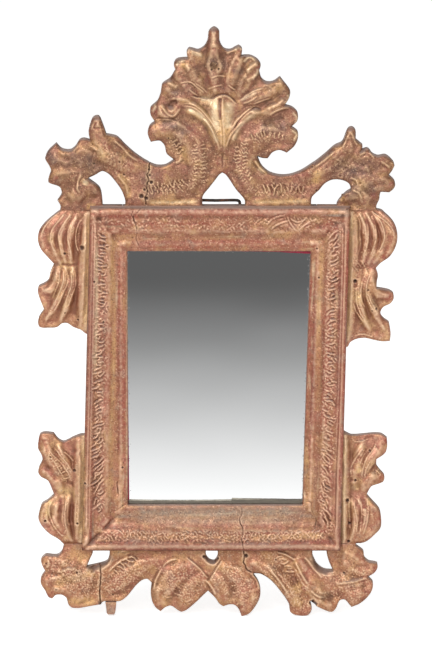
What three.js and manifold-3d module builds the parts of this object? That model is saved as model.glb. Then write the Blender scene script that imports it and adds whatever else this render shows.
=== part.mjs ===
// Carved and gilt wall mirror. Four moulded rails with pegged mitred half-laps hold the plate, and
// pierced carved boards are glued and dowelled round them: a shell crest with two wings, four side
// ears and an apron of leaves. An iron bail behind the crest hangs it on a wall.
// Millimetres. X runs to the viewer's right, Y to the wall and Z up. Depths are measured forwards
// from the back plane, which touches the wall side of every board.
import * as THREE from "three";
import { mergeVertices } from "three/addons/utils/BufferGeometryUtils.js";
import Module from "manifold-3d";

const wasm = await Module();
wasm.setup();

// Frame of four rails. The hand-made frame leans a little to the right at its top.
const frameWidth = 259;
const frameHeight = 347;
const frameLean = 8.9;
const frameDepth = 30;
const sightEdgeDepth = 20;
const topRailWidth = 45;
const bottomRailWidth = 46;
const leftStileTopWidth = 37;
const leftStileBottomWidth = 46.2;
const rightStileTopWidth = 39.2;
const rightStileBottomWidth = 38;

// Rebate for the plate, cut in the back of the rails. Its depth is also the depth of the half-laps.
const rebateDepth = 14;
const rebateLip = 5;

// What lies in the rebate, from the front to the back.
const liningThickness = 0.5;
const plateThickness = 3;
const backboardThickness = 6;
const plateClearance = 0.8;
const liningTopRightShow = 1.8;
const liningBottomLeftShow = 1.4;
const packingStripDepth = 2.8;
const packingStripHeight = 3.4;
const packingStripMargin = 3.5;

// Glue lines and seats all keep this small gap.
const glueGap = 0.3;

// Wooden pegs and dowels.
const pegRadius = 3;
const pegLength = 22;
const dowelRadius = 2.5;
const dowelLength = 22;
const boreClearance = 0.15;
const boreEndRoom = 0.5;
const roundSides = 10;

// Carved boards, with how far each reaches past the corner of the frame that carries it.
const crestHeight = 178.5;
const crestLeftReach = 44.8;
const crestRightReach = 45;
const crestFieldDepth = 13;
const crestDepth = 18;
const upperLeftEarReach = 52.5;
const upperLeftEarDrop = 129.5;
const upperRightEarReach = 47.5;
const upperRightEarDrop = 143;
const lowerLeftEarReach = 44;
const lowerLeftEarRise = 117.5;
const lowerRightEarReach = 47;
const lowerRightEarRise = 118.5;
const earFieldDepth = 9.5;
const earDepth = 15;
const apronLeftReach = 42;
const apronRightReach = 38;
const apronDrop = 69.6;
const apronFieldDepth = 11.5;
const apronDepth = 16;
const seamDrop = 4.5;
const ridgeHalfWidth = 5;
const ridgeRoot = 2;

// A square foot peg let into the left of the apron, and a plug in an old hole of the crest.
const footWidth = 11.5;
const footThickness = 11;
const footDrop = 13.5;
const tenonLength = 9;
const tenonWidth = 7.6;
const tenonThickness = 5.5;
const plugRadius = 4.2;
const plugDepth = 9;

// Iron hanging bail in two staples, and the brads that hold the backboard.
const bailWidth = 48;
const bailHeight = 24;
const bailWireRadius = 1.6;
const bailFootLength = 8;
const bailBend = 4;
const bailRise = 3.5;
const pivotBehindBack = 4.5;
const stapleWireRadius = 1;
const stapleRoom = 0.6;
const stapleLegLength = 10;
const wireSides = 8;
const bradRadius = 0.7;
const bradLength = 16;
const bradGrip = 7;
const bradHeadRadius = 1.7;
const bradHeadThickness = 0.9;
const bradSides = 8;

// Cutters run past what they cut by this much.
const overrun = 40;

// Section of a rail from its outer edge, share 0, to its sight edge, share 1. The second number is
// the share of the way from the sight edge's depth to the full depth of the outer bead.
const stileProfileShares = [
  [0, 0.3], [0.03, 0.8], [0.09, 1], [0.15, 0.9], [0.2, 0.5], [0.23, 0.62],
  [0.55, 0.5], [0.6, 0.24], [0.7, 0.08], [0.78, 0.12], [0.82, 0.3], [0.87, 0.1], [1, 0],
];
const bottomProfileShares = [
  [0, 0.3], [0.03, 0.8], [0.08, 1], [0.14, 0.9], [0.17, 0.5], [0.2, 0.62],
  [0.44, 0.5], [0.5, 0.26], [0.66, 0.06], [0.88, 0.04], [0.94, 0.14], [1, 0],
];

// Traced outlines. Points are pixels of the front view, x to the right and y down. A board's columns and
// rows are the pixels of its outermost points and of the frame's edges. A run is one smooth stretch, and
// runs meet at the carver's sharp corners.
const crestColumnPixels = [46.2, 91, 349.5, 394.5];
const crestRowPixels = [28, 205.4];
const crestOutlinePixels = [
  [[60, 214], [61.5, 206], [58.5, 200.5], [62.5, 194], [61, 187.5], [55, 184.8], [49.5, 182.5],
    [50, 177], [52, 170.5], [49.5, 164.5], [46.2, 158.5], [50.5, 150], [57.5, 143.5]],
  [[57.5, 143.5], [63, 149], [72, 150], [77, 146], [81, 140], [85.5, 138.8], [91, 140.3]],
  [[91, 140.3], [89.6, 132], [91.7, 123], [94.5, 117.7], [99.5, 116.3], [102, 120], [107.3, 134.5]],
  [[107.3, 134.5], [117.5, 136.8], [125, 144], [135, 153], [145, 160], [156, 165.3], [166, 165.2],
    [174.5, 159.8]],
  [[174.5, 159.8], [167, 153.5], [165.3, 146.5], [160.5, 141.2], [151.5, 142.2]],
  [[151.5, 142.2], [148.3, 133.5], [150.8, 125.5], [155.5, 122]],
  [[155.5, 122], [151.3, 115.5], [151.3, 108], [158, 101.5], [161.3, 93], [163, 84.5], [170.5, 79],
    [176, 70]],
  [[176, 70], [174.3, 65], [177.5, 59.8], [188.3, 58.5]],
  [[188.3, 58.5], [187, 53], [189.7, 48.6], [198, 50.5], [205, 46.5], [208, 39.5], [208.8, 33],
    [214, 28], [219.2, 32], [219.8, 42], [224, 49.2], [231, 50.2], [238.5, 46.3], [242, 49.8],
    [241.2, 56.5]],
  [[241.2, 56.5], [249.5, 56.2], [257, 60], [260.5, 65.5], [259.2, 71]],
  [[259.2, 71], [261, 78.5], [266, 82.4], [273, 82], [279.5, 77.5]],
  [[279.5, 77.5], [285, 84.5], [289.8, 92], [288.5, 99], [284.3, 105.3]],
  [[284.3, 105.3], [291, 107.3], [297, 113], [297, 121], [291, 127]],
  [[291, 127], [297, 131.5], [297.5, 139], [293.5, 147], [286.5, 153]],
  [[286.5, 153], [279, 150.3], [272, 153], [267.5, 158.7], [257.5, 157]],
  [[257.5, 157], [261, 165], [268.5, 172], [279, 175.2], [291, 174.5], [303, 169.5], [315, 161.7],
    [325, 153.7], [334, 145.8], [341.3, 142]],
  [[341.3, 142], [344.5, 135], [347.5, 128.7], [351.5, 127.4], [354.8, 131], [355, 139.5],
    [361.7, 145], [361, 150]],
  [[361, 150], [367, 148.3], [371, 153.2], [377, 156], [384, 155], [390.5, 159.7], [393.7, 165.5],
    [388, 175.3]],
  [[388, 175.3], [393.3, 180.5], [394.3, 186], [388.5, 192.6], [380, 192], [378.7, 199],
    [375.8, 206], [377, 214]],
  [[335.3, 214], [336.3, 203.5], [340.5, 197.3], [345.5, 192.3], [350, 189.5]],
  [[350, 189.5], [348.5, 184], [341, 180.2], [331, 180.2], [323.5, 184.5], [318.5, 190.5],
    [311.5, 197.5], [311, 214]],
  [[245.7, 214], [244.5, 200]],
  [[244.5, 200], [236, 189.5], [229, 179], [222.5, 172.8], [216, 179.5], [203, 196.5]],
  [[202.3, 214], [125.9, 214]],
  [[125.7, 200], [122.5, 191], [115.5, 180.7], [109, 173.8], [103, 171.5], [97, 174.7], [88.6, 178.5]],
  [[88.6, 178.5], [94.5, 182.5], [100.5, 188], [102.7, 196], [104, 214]],
];

const upperLeftEarColumnPixels = [38.5, 91];
const upperLeftEarRowPixels = [205.4, 333.6];
const upperLeftEarOutlinePixels = [
  [[100, 203], [64, 203], [63.5, 209.8]],
  [[63.5, 209.8], [54, 216], [45.5, 223.5], [40, 231.5], [38.8, 240], [42, 249.5], [48, 256.5],
    [54.7, 264]],
  [[54.7, 264], [51, 272.5], [49.5, 279.5], [45, 283.3], [39.8, 286], [38.5, 291.5], [41.5, 301.5],
    [44.7, 309.5]],
  [[44.7, 309.5], [40.3, 315.7], [38.6, 322], [40.3, 327.2], [48, 328], [57.5, 327.3]],
  [[57.5, 327.3], [62.5, 323.7], [68, 323.5], [74.5, 327.5], [81.5, 330], [86, 333.6], [100, 334]],
];

const upperRightEarColumnPixels = [349.5, 397];
const upperRightEarRowPixels = [205.4, 347];
const upperRightEarOutlinePixels = [
  [[340, 347.5], [348, 347], [350, 342.7], [357, 339], [366, 338.3], [374, 340.2], [382, 341.6],
    [389.8, 341.2]],
  [[389.8, 341.2], [390.5, 334], [389.5, 326], [388.5, 321.8]],
  [[388.5, 321.8], [383, 318], [380, 312.7], [383.5, 307], [389.5, 304], [393.3, 299], [392.3, 292.5],
    [386, 289.3], [376.2, 287.7]],
  [[376.2, 287.7], [376.6, 281], [377.6, 275.5], [375.5, 268.3]],
  [[375.5, 268.3], [380.5, 263], [388, 258], [393.5, 250.5], [396.5, 242], [396.5, 231.5],
    [392.5, 221.8], [384.5, 213.5], [375.8, 206.5]],
  [[375.8, 206.5], [374, 203], [340, 203]],
];

const lowerLeftEarColumnPixels = [37.8, 81.8];
const lowerLeftEarRowPixels = [432, 548.4];
const lowerLeftEarOutlinePixels = [
  [[95, 433.8], [81, 434], [73, 437], [63.5, 441.2], [57.5, 438], [53.5, 432.8]],
  [[53.5, 432.8], [46.5, 432], [40.3, 433.3], [38.4, 440], [37.8, 448], [41, 454], [42.2, 459.5],
    [39.5, 465.5]],
  [[39.5, 465.5], [37.9, 472], [41, 477], [47.5, 480.5], [50.8, 487], [53.7, 494.5]],
  [[53.7, 494.5], [47.5, 500], [42, 503.5], [39.3, 510.5], [38, 518], [41.5, 526], [49.5, 534],
    [57.5, 539], [63.3, 544.5]],
  [[63.3, 544.5], [64, 551], [95, 551]],
];

const lowerRightEarColumnPixels = [341, 388];
const lowerRightEarRowPixels = [431, 548.4];
const lowerRightEarOutlinePixels = [
  [[330, 430], [344.5, 431], [351, 434.3], [361, 434.2], [372, 433.1], [382, 433.6], [387.5, 437.3]],
  [[387.5, 437.3], [388, 444.5], [386.3, 452], [382, 456], [377.2, 458.7]],
  [[377.2, 458.7], [377.3, 465.3], [380.7, 470], [385, 475.3], [384, 481.5], [378, 484.3],
    [372, 486.5], [367.5, 494.7]],
  [[367.5, 494.7], [374, 501.8], [380, 509], [382, 518], [381.3, 528.5], [375, 535.5], [366.5, 542.3],
    [356.5, 544.7]],
  [[356.5, 544.7], [356.5, 551], [330, 551]],
];

const apronColumnPixels = [39.8, 81.8, 341, 379];
const apronRowPixels = [548.4, 617.3];
const apronOutlinePixels = [
  [[356.5, 540], [64, 540]],
  [[63.3, 545], [61.7, 551], [57.5, 555.2], [51.5, 555.5], [45.3, 555], [40.5, 560], [42.2, 567.3],
    [44.7, 571.7]],
  [[44.7, 571.7], [40.5, 578], [40.3, 584.5], [44.5, 591.5], [48, 598.3], [51.5, 599.5]],
  [[51.5, 599.5], [55, 596], [61, 595.4], [65.7, 598.7], [67.8, 605.3], [71, 608.5], [79, 609],
    [90, 607], [100, 605.3]],
  [[100, 605.3], [103, 602.6], [119.5, 602]],
  [[119.5, 602], [126.5, 597.5], [132.5, 590.2], [140, 582.2], [147, 579.5], [151.5, 583.5]],
  [[151.5, 583.5], [150.6, 592], [152, 602], [156, 609], [160.5, 612.3]],
  [[160.5, 612.3], [165, 608.5], [170.5, 606.8], [175, 609], [181, 613], [188, 610], [196, 603],
    [203, 596.5], [208.3, 591.5]],
  [[208.3, 591.5], [215.5, 598.7], [219.5, 604.5], [223.5, 607.3]],
  [[223.5, 607.3], [228.5, 605.6], [234.5, 605.7], [239, 610], [242, 617.3]],
  [[242, 617.3], [249, 615], [256, 607], [260.3, 598], [260.7, 588.5], [257.5, 580], [252.8, 573.8]],
  [[252.8, 573.8], [261, 574.5], [271, 580.3], [279, 589], [286, 598.5], [289.7, 605.5], [290.8, 612.7],
    [296.5, 616.2], [309, 616], [312.6, 610], [311, 602.5]],
  [[311, 602.5], [317.5, 607.2], [326, 611.2], [333, 613], [337.3, 608.5], [340.5, 601.7],
    [345.5, 600.5], [350, 605], [352.5, 608]],
  [[352.5, 608], [360, 605], [368, 598.5], [373.2, 590.5], [373.7, 582.5], [369, 577.5]],
  [[369, 577.5], [374.5, 574.2], [378.3, 569], [378, 563.5], [370.5, 562], [365.3, 557.7],
    [364.2, 551.5], [356.5, 545.5]],
];
const apronHolePixels = [
  [[[92.5, 540], [109.3, 540]], [[109.3, 553.5], [107.5, 561], [100, 564], [86.3, 567]],
    [[86.3, 567], [90, 558.7], [92.5, 553]]],
  [[[313.3, 540], [327.3, 540]], [[327.3, 553], [329.6, 561.5], [333.7, 570.7]],
    [[333.7, 570.7], [325, 570], [317.5, 564.5], [313.3, 555.5]]],
  [[[206.3, 540], [217.7, 540]], [[217.7, 556.5], [214.3, 561.5], [209, 559.7], [206.3, 556]]],
];

// Glue lines between the boards of the crest and of the apron, each from its upper to its lower end.
// Above the hollows beside the shell the crest's cuts run through the open air.
const crestLeftJointPixels = [[130, 10], [130, 120], [149.5, 163], [144, 220]];
const crestRightJointPixels = [[310, 10], [310, 120], [312.5, 163], [307.5, 220]];
// The apron's right cut leaves the wood at the notch beside the middle leaf.
const apronLeftJointPixels = [[99, 530], [100.5, 640]];
const apronRightJointPixels = [[243.5, 530], [244.5, 563], [252.8, 573.5], [266, 584], [275, 640]];

// Raised carving: each ridge has a path in pixels, a share of the ridge width and of the rise above
// the field of its board.
const crestRidges = [
  { widthShare: 1.3, riseShare: 1, pathPixels: [[215, 92], [214, 70], [214, 48], [214, 31]] },
  { widthShare: 1.6, riseShare: 0.8, pathPixels: [[203, 94], [194, 76], [190, 62], [189, 50]] },
  { widthShare: 1.6, riseShare: 0.8, pathPixels: [[194, 96], [184, 82], [178, 70], [176, 62]] },
  { widthShare: 1.7, riseShare: 0.7, pathPixels: [[190, 101], [178, 92], [168, 86], [165, 82]] },
  { widthShare: 1.6, riseShare: 0.8, pathPixels: [[228, 92], [233, 74], [238, 60], [240, 49]] },
  { widthShare: 1.7, riseShare: 0.8, pathPixels: [[238, 96], [247, 80], [254, 68], [258, 62]] },
  { widthShare: 1.9, riseShare: 0.7, pathPixels: [[245, 102], [260, 94], [272, 88], [280, 82]] },
  { widthShare: 2.6, riseShare: 0.9, pathPixels: [[219, 98], [220, 112], [221, 128], [222, 152]] },
  { widthShare: 0.6, riseShare: 1,
    pathPixels: [[176, 104], [190, 104], [203, 112], [213, 128], [219, 148]] },
  { widthShare: 0.6, riseShare: 1,
    pathPixels: [[264, 113], [254, 109], [243, 115], [232, 127], [226, 148]] },
  { widthShare: 1.6, riseShare: 1, pathPixels: [[160, 104], [164, 112], [172, 115], [180, 108]] },
  { widthShare: 1.6, riseShare: 1, pathPixels: [[286, 96], [282, 104], [272, 110], [262, 112]] },
  { widthShare: 2.4, riseShare: 0.7,
    pathPixels: [[153, 133], [163, 128], [178, 128], [192, 142], [199, 165],
      [190, 190]] },
  { widthShare: 2.4, riseShare: 0.7,
    pathPixels: [[292, 138], [276, 130], [262, 134], [248, 148], [243, 172],
      [252, 192]] },
  { widthShare: 2, riseShare: 0.8,
    pathPixels: [[99, 119], [99, 132], [103, 150], [116, 160], [140, 170]] },
  { widthShare: 3, riseShare: 0.6, pathPixels: [[54, 156], [66, 162], [82, 156], [98, 160]] },
  { widthShare: 2.2, riseShare: 0.7, pathPixels: [[53, 178], [66, 176], [78, 174], [86, 168]] },
  { widthShare: 2.2, riseShare: 0.9, pathPixels: [[76, 206], [78, 192], [88, 186], [98, 194]] },
  { widthShare: 2, riseShare: 0.8,
    pathPixels: [[351, 130], [349, 144], [340, 156], [324, 166], [300, 180]] },
  { widthShare: 3, riseShare: 0.6, pathPixels: [[388, 164], [372, 164], [358, 160], [346, 164]] },
  { widthShare: 2.2, riseShare: 0.7, pathPixels: [[390, 185], [376, 182], [364, 180], [354, 178]] },
  { widthShare: 2, riseShare: 0.9, pathPixels: [[366, 206], [362, 194], [352, 192], [342, 200]] },
];
const upperLeftEarRidges = [
  { widthShare: 1.2, riseShare: 0.7,
    pathPixels: [[60, 215], [48, 226], [43, 239], [47, 251], [57, 262]] },
  { widthShare: 0.9, riseShare: 0.9,
    pathPixels: [[66, 214], [56, 227], [52, 240], [56, 253], [62, 264]] },
  { widthShare: 0.9, riseShare: 1,
    pathPixels: [[72, 214], [64, 228], [61, 242], [64, 254], [67, 264]] },
  { widthShare: 0.9, riseShare: 1,
    pathPixels: [[78, 215], [72, 230], [70, 243], [71, 255], [72, 264]] },
  { widthShare: 1, riseShare: 0.8,
    pathPixels: [[86, 214], [85, 240], [83, 270], [82, 300], [81, 328]] },
  { widthShare: 1.1, riseShare: 0.8, pathPixels: [[60, 266], [57, 282], [48, 292], [42, 290]] },
  { widthShare: 1, riseShare: 0.9, pathPixels: [[67, 266], [64, 284], [58, 302], [46, 320]] },
  { widthShare: 1, riseShare: 0.9, pathPixels: [[74, 266], [72, 286], [68, 304], [60, 322]] },
];
const upperRightEarRidges = [
  { widthShare: 1.2, riseShare: 0.7,
    pathPixels: [[377, 211], [389, 224], [392, 238], [387, 251], [378, 262]] },
  { widthShare: 0.9, riseShare: 0.9,
    pathPixels: [[371, 211], [382, 226], [384, 240], [380, 253], [372, 264]] },
  { widthShare: 0.9, riseShare: 1,
    pathPixels: [[365, 212], [373, 228], [375, 242], [372, 254], [367, 265]] },
  { widthShare: 0.9, riseShare: 1,
    pathPixels: [[359, 213], [365, 230], [366, 243], [364, 255], [361, 266]] },
  { widthShare: 1, riseShare: 0.8,
    pathPixels: [[355, 214], [355, 240], [354, 270], [353, 300], [351, 336]] },
  { widthShare: 1.2, riseShare: 0.8, pathPixels: [[372, 268], [370, 282], [378, 294], [389, 296]] },
  { widthShare: 1, riseShare: 0.9, pathPixels: [[366, 268], [365, 286], [372, 306], [384, 330]] },
  { widthShare: 1, riseShare: 0.9, pathPixels: [[360, 268], [358, 290], [361, 312], [370, 332]] },
];
const lowerLeftEarRidges = [
  { widthShare: 1.4, riseShare: 0.8, pathPixels: [[45, 437], [47, 450], [56, 466], [64, 480]] },
  { widthShare: 1.1, riseShare: 0.8, pathPixels: [[58, 444], [62, 456], [68, 468], [72, 482]] },
  { widthShare: 1.3, riseShare: 0.7, pathPixels: [[42, 470], [50, 473], [57, 482], [62, 492]] },
  { widthShare: 1, riseShare: 0.8, pathPixels: [[78, 438], [78, 470], [77, 500], [76, 540]] },
  { widthShare: 1.4, riseShare: 0.7,
    pathPixels: [[58, 496], [47, 506], [43, 518], [50, 530], [64, 541]] },
  { widthShare: 1, riseShare: 0.9,
    pathPixels: [[63, 496], [56, 508], [54, 518], [59, 530], [68, 541]] },
  { widthShare: 1, riseShare: 0.9,
    pathPixels: [[69, 496], [65, 508], [64, 520], [67, 532], [72, 542]] },
];
const lowerRightEarRidges = [
  { widthShare: 1.4, riseShare: 0.8, pathPixels: [[383, 440], [376, 452], [366, 466], [361, 484]] },
  { widthShare: 1.2, riseShare: 0.8, pathPixels: [[364, 439], [360, 452], [356, 466], [354, 484]] },
  { widthShare: 1.3, riseShare: 0.7, pathPixels: [[380, 477], [372, 476], [366, 484], [363, 492]] },
  { widthShare: 1, riseShare: 0.8, pathPixels: [[347, 438], [347, 470], [346, 500], [346, 540]] },
  { widthShare: 1.4, riseShare: 0.7,
    pathPixels: [[364, 498], [374, 508], [377, 519], [371, 531], [358, 541]] },
  { widthShare: 1, riseShare: 0.9,
    pathPixels: [[358, 498], [365, 509], [367, 520], [363, 531], [355, 541]] },
  { widthShare: 1, riseShare: 0.9,
    pathPixels: [[352, 498], [356, 509], [357, 520], [355, 531], [351, 541]] },
];
const apronRidges = [
  { widthShare: 2.2, riseShare: 0.8, pathPixels: [[44, 561], [56, 564], [70, 572], [88, 584]] },
  { widthShare: 2.2, riseShare: 0.8, pathPixels: [[44, 582], [58, 584], [74, 590], [90, 596]] },
  { widthShare: 1.8, riseShare: 0.7, pathPixels: [[72, 604], [80, 594], [88, 578], [84, 560]] },
  { widthShare: 2.2, riseShare: 0.9, pathPixels: [[104, 590], [118, 584], [136, 568], [158, 560]] },
  { widthShare: 2.6, riseShare: 1, pathPixels: [[160, 606], [164, 590], [176, 574], [198, 566]] },
  { widthShare: 2.4, riseShare: 0.8, pathPixels: [[182, 608], [190, 592], [200, 580], [206, 572]] },
  { widthShare: 2.4, riseShare: 0.8, pathPixels: [[224, 602], [222, 590], [216, 580], [211, 572]] },
  { widthShare: 2.6, riseShare: 1, pathPixels: [[245, 612], [248, 594], [240, 578], [222, 566]] },
  { widthShare: 1.6, riseShare: 0.9, pathPixels: [[252, 562], [272, 572], [288, 590], [302, 611]] },
  { widthShare: 1.8, riseShare: 0.8, pathPixels: [[298, 556], [304, 574], [314, 590], [332, 608]] },
  { widthShare: 2.4, riseShare: 0.9, pathPixels: [[354, 604], [356, 592], [350, 582], [338, 586]] },
  { widthShare: 2.4, riseShare: 0.8, pathPixels: [[374, 567], [360, 568], [350, 560], [344, 552]] },
];

// Places of the dowels in pixels: upright ones in the top and bottom rails, level ones in the stiles
// and in the glue lines of the carved boards.
const crestDowelPixels = [97.2, 136.5, 172, 280, 343.3];
const apronDowelPixels = [127, 162, 228, 270, 300, 336];
const upperLeftEarDowelPixels = [232, 303];
const upperRightEarDowelPixels = [236, 318];
const lowerLeftEarDowelPixels = [458, 520];
const lowerRightEarDowelPixels = [458, 520];
const crestLeftJointDowelPixels = [147.5, 183];
const crestRightJointDowelPixels = [310, 181];
const apronLeftJointDowelPixels = [99.8, 589];
const leafDowelPixels = [76, 545];
const footPixels = [110.6, 602.2];
const plugPixels = [214, 65];

// Where the brads stand along the rebate, as shares of each side, and where the packing strips meet.
const bradShares = [0.22, 0.78];
const packingMeetingShare = 0.6;

// A quadrilateral of the front view has four named corners. Its outline runs clockwise through them.
const corner = (x, z) => new THREE.Vector2(x, z);
const cornerNames = ["topLeft", "topRight", "bottomRight", "bottomLeft"];
const outlineOfQuad = (quad) => cornerNames.map((name) => quad[name]);

const outerQuad = {
  topLeft: corner((frameLean - frameWidth) / 2, 0),
  topRight: corner((frameLean + frameWidth) / 2, 0),
  bottomRight: corner((frameWidth - frameLean) / 2, -frameHeight),
  bottomLeft: corner((-frameWidth - frameLean) / 2, -frameHeight),
};
const sightQuad = {
  topLeft: corner(outerQuad.topLeft.x + leftStileTopWidth, -topRailWidth),
  topRight: corner(outerQuad.topRight.x - rightStileTopWidth, -topRailWidth),
  bottomRight: corner(outerQuad.bottomRight.x - rightStileBottomWidth, bottomRailWidth - frameHeight),
  bottomLeft: corner(outerQuad.bottomLeft.x + leftStileBottomWidth, bottomRailWidth - frameHeight),
};

// Where the line through a and b meets the line through c and d.
function meetingPoint(a, b, c, d) {
  const along = b.clone().sub(a);
  const across = d.clone().sub(c);
  const share = c.clone().sub(a).cross(across) / along.cross(across);
  return a.clone().addScaledVector(along, share);
}

// Moves every side of a quadrilateral outwards by a distance. A negative distance moves it inwards.
function grownQuad(quad, distance) {
  const outline = outlineOfQuad(quad);
  const sides = outline.map((from, i) => {
    const to = outline[(i + 1) % outline.length];
    const along = to.clone().sub(from).normalize();
    const outwards = corner(-along.y, along.x).multiplyScalar(distance);
    return [from.clone().add(outwards), to.clone().add(outwards)];
  });
  return Object.fromEntries(cornerNames.map((name, i) => {
    const before = sides[(i + sides.length - 1) % sides.length];
    return [name, meetingPoint(...before, ...sides[i])];
  }));
}

const rebateQuad = grownQuad(sightQuad, rebateLip);

// A closed three.js geometry as a solid, and the way back.
function solidOf(geometry) {
  const bare = geometry.index ? geometry.toNonIndexed() : geometry.clone();
  bare.deleteAttribute("normal");
  bare.deleteAttribute("uv");
  const merged = mergeVertices(bare);
  return new wasm.Manifold(new wasm.Mesh({
    numProp: 3,
    vertProperties: merged.attributes.position.array,
    triVerts: new Uint32Array(merged.index.array),
  }));
}

// Cuts that meet edge to edge can leave specks of no volume. The whole piece is what is left of them.
function wholeOf(solid) {
  return solid.decompose().reduce((most, body) => (body.volume() > most.volume() ? body : most));
}

function geometryOf(solid) {
  const mesh = solid.getMesh();
  const geometry = new THREE.BufferGeometry();
  geometry.setAttribute("position", new THREE.BufferAttribute(mesh.vertProperties.slice(), 3));
  geometry.setIndex(new THREE.BufferAttribute(mesh.triVerts.slice(), 1));
  geometry.computeVertexNormals();
  return geometry;
}

// A board with the given outline in the front view, from one depth to a greater one.
function board(outline, fromDepth, toDepth) {
  const geometry = new THREE.ExtrudeGeometry(new THREE.Shape(outline), {
    depth: toDepth - fromDepth,
    bevelEnabled: false,
  });
  geometry.translate(0, 0, fromDepth);
  geometry.rotateX(Math.PI / 2);
  return solidOf(geometry);
}

// Joins closed rings of equal length into one skin with flat ends. The cap is the ring's own shape,
// given clockwise. A skin whose rings run the other way is turned to face out.
function loft(rings, cap) {
  const count = cap.length;
  const positions = rings.flat().flatMap((point) => point.toArray());
  const index = [];
  for (let ring = 0; ring + 1 < rings.length; ring++) {
    for (let i = 0; i < count; i++) {
      const a = ring * count + i;
      const b = ring * count + ((i + 1) % count);
      index.push(a, b, b + count, a, b + count, a + count);
    }
  }
  const last = (rings.length - 1) * count;
  for (const [a, b, c] of THREE.ShapeUtils.triangulateShape(cap, [])) {
    index.push(a, b, c, last + a, last + c, last + b);
  }
  const geometry = new THREE.BufferGeometry();
  geometry.setAttribute("position", new THREE.Float32BufferAttribute(positions, 3));
  geometry.setIndex(index);
  const skin = solidOf(geometry);
  return skin.volume() > 0 ? skin : solidOf(geometry.setIndex(index.reverse()));
}

// A round rod between two points.
function rod(from, to, radius, sides) {
  const length = from.distanceTo(to);
  const geometry = new THREE.CylinderGeometry(radius, radius, length, sides);
  const along = to.clone().sub(from).normalize();
  geometry.applyQuaternion(new THREE.Quaternion().setFromUnitVectors(new THREE.Vector3(0, 1, 0), along));
  geometry.translate(...from.clone().add(to).multiplyScalar(1 / 2).toArray());
  return solidOf(geometry);
}

// A round wire along a smooth path.
function wire(points, radius, steps) {
  const section = new THREE.Shape().absarc(0, 0, radius, 0, 2 * Math.PI);
  const outline = new THREE.Shape(section.getSpacedPoints(wireSides).slice(0, wireSides));
  const path = new THREE.CatmullRomCurve3(points, false, "centripetal");
  return solidOf(new THREE.ExtrudeGeometry(outline, { steps, extrudePath: path, bevelEnabled: false }));
}

const place = (x, depth, z) => new THREE.Vector3(x, -depth, z);

// Carries pixels of a traced board to the frame. Each of its columns and rows of pixels has a real place,
// and what lies between two of them keeps its share of the way.
function tracedBy(columnPixels, columns, rowPixels, rows) {
  const carried = (value, pixels, places) => {
    const next = pixels.findIndex((pixel, i) => i > 0 && value < pixel);
    const to = next > 0 ? next : pixels.length - 1;
    return THREE.MathUtils.mapLinear(value, pixels[to - 1], pixels[to], places[to - 1], places[to]);
  };
  return ([x, y]) => corner(carried(x, columnPixels, columns), carried(y, rowPixels, rows));
}

// The outline through its runs. Each run is a smooth curve, with a point more between two traced ones
// where the curve leaves the straight line.
const outlineTolerance = 0.25;

function outlineOf(runs, traced) {
  const outline = [];
  const add = (p) => {
    const last = outline[outline.length - 1];
    if (!last || last.distanceTo(p) > glueGap) outline.push(corner(p.x, p.y));
  };
  for (const run of runs) {
    const points = run.map(traced).map((p) => new THREE.Vector3(p.x, p.y, 0));
    const curve = new THREE.CatmullRomCurve3(points, false, "centripetal");
    points.forEach((p, i) => {
      if (i > 0 && points.length > 2) {
        const bulge = curve.getPoint((i - 1 / 2) / (points.length - 1));
        const chord = points[i - 1].clone().add(p).multiplyScalar(1 / 2);
        if (bulge.distanceTo(chord) > outlineTolerance) add(bulge);
      }
      add(p);
    });
  }
  if (outline[0].distanceTo(outline[outline.length - 1]) < glueGap) outline.pop();
  return THREE.ShapeUtils.isClockWise(outline) ? outline.reverse() : outline;
}

// A raised ridge with a rounded section that fades at both ends.
const ridgeSectionShares = [[-1, 0], [-0.5, 0.85], [0.5, 0.85], [1, 0]];
const ridgeFadeShares = [0.4, 0.95, 1, 0.95, 0.4];

function ridge(shape, traced, fieldDepth, rise) {
  const path = shape.pathPixels.map(traced).map((p) => new THREE.Vector3(p.x, 0, p.y));
  const curve = new THREE.CatmullRomCurve3(path, false, "centripetal");
  const halfWidth = ridgeHalfWidth * shape.widthShare;
  const rings = ridgeFadeShares.map((fade, i) => {
    const share = i / (ridgeFadeShares.length - 1);
    const middle = curve.getPointAt(share);
    const along = curve.getTangentAt(share);
    const across = new THREE.Vector3(-along.z, 0, along.x);
    const top = ridgeSectionShares.map(([side, up]) => middle.clone()
      .addScaledVector(across, side * halfWidth * fade)
      .setY(-fieldDepth - up * rise * shape.riseShare * fade));
    const root = [1, -1].map((side) => middle.clone()
      .addScaledVector(across, side * halfWidth * fade)
      .setY(ridgeRoot - fieldDepth));
    return [...top, ...root];
  });
  const cap = [
    ...ridgeSectionShares.map(([side, up]) => corner(side, up)), corner(1, -1), corner(-1, -1),
  ];
  return loft(rings, cap);
}

// A rectangle of the front view between two opposite corners.
function rectangle(left, base, right, top) {
  return [corner(left, base), corner(right, base), corner(right, top), corner(left, top)];
}

// A carved board: a slab as thick as the flat field with the ridges on it, cut to the outline.
function carvedBoard(runs, traced, fieldDepth, fullDepth, ridges, holes = []) {
  const outline = outlineOf(runs, traced);
  const reach = new THREE.Box2().setFromPoints(outline).expandByScalar(overrun);
  let slab = board(rectangle(reach.min.x, reach.min.y, reach.max.x, reach.max.y), -overrun, fieldDepth);
  for (const shape of ridges) slab = slab.add(ridge(shape, traced, fieldDepth, fullDepth - fieldDepth));
  let carved = board(outline, 0, fullDepth + overrun).intersect(slab);
  for (const hole of holes) {
    carved = carved.subtract(board(outlineOf(hole, traced), -overrun, fullDepth + overrun));
  }
  return carved;
}

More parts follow.
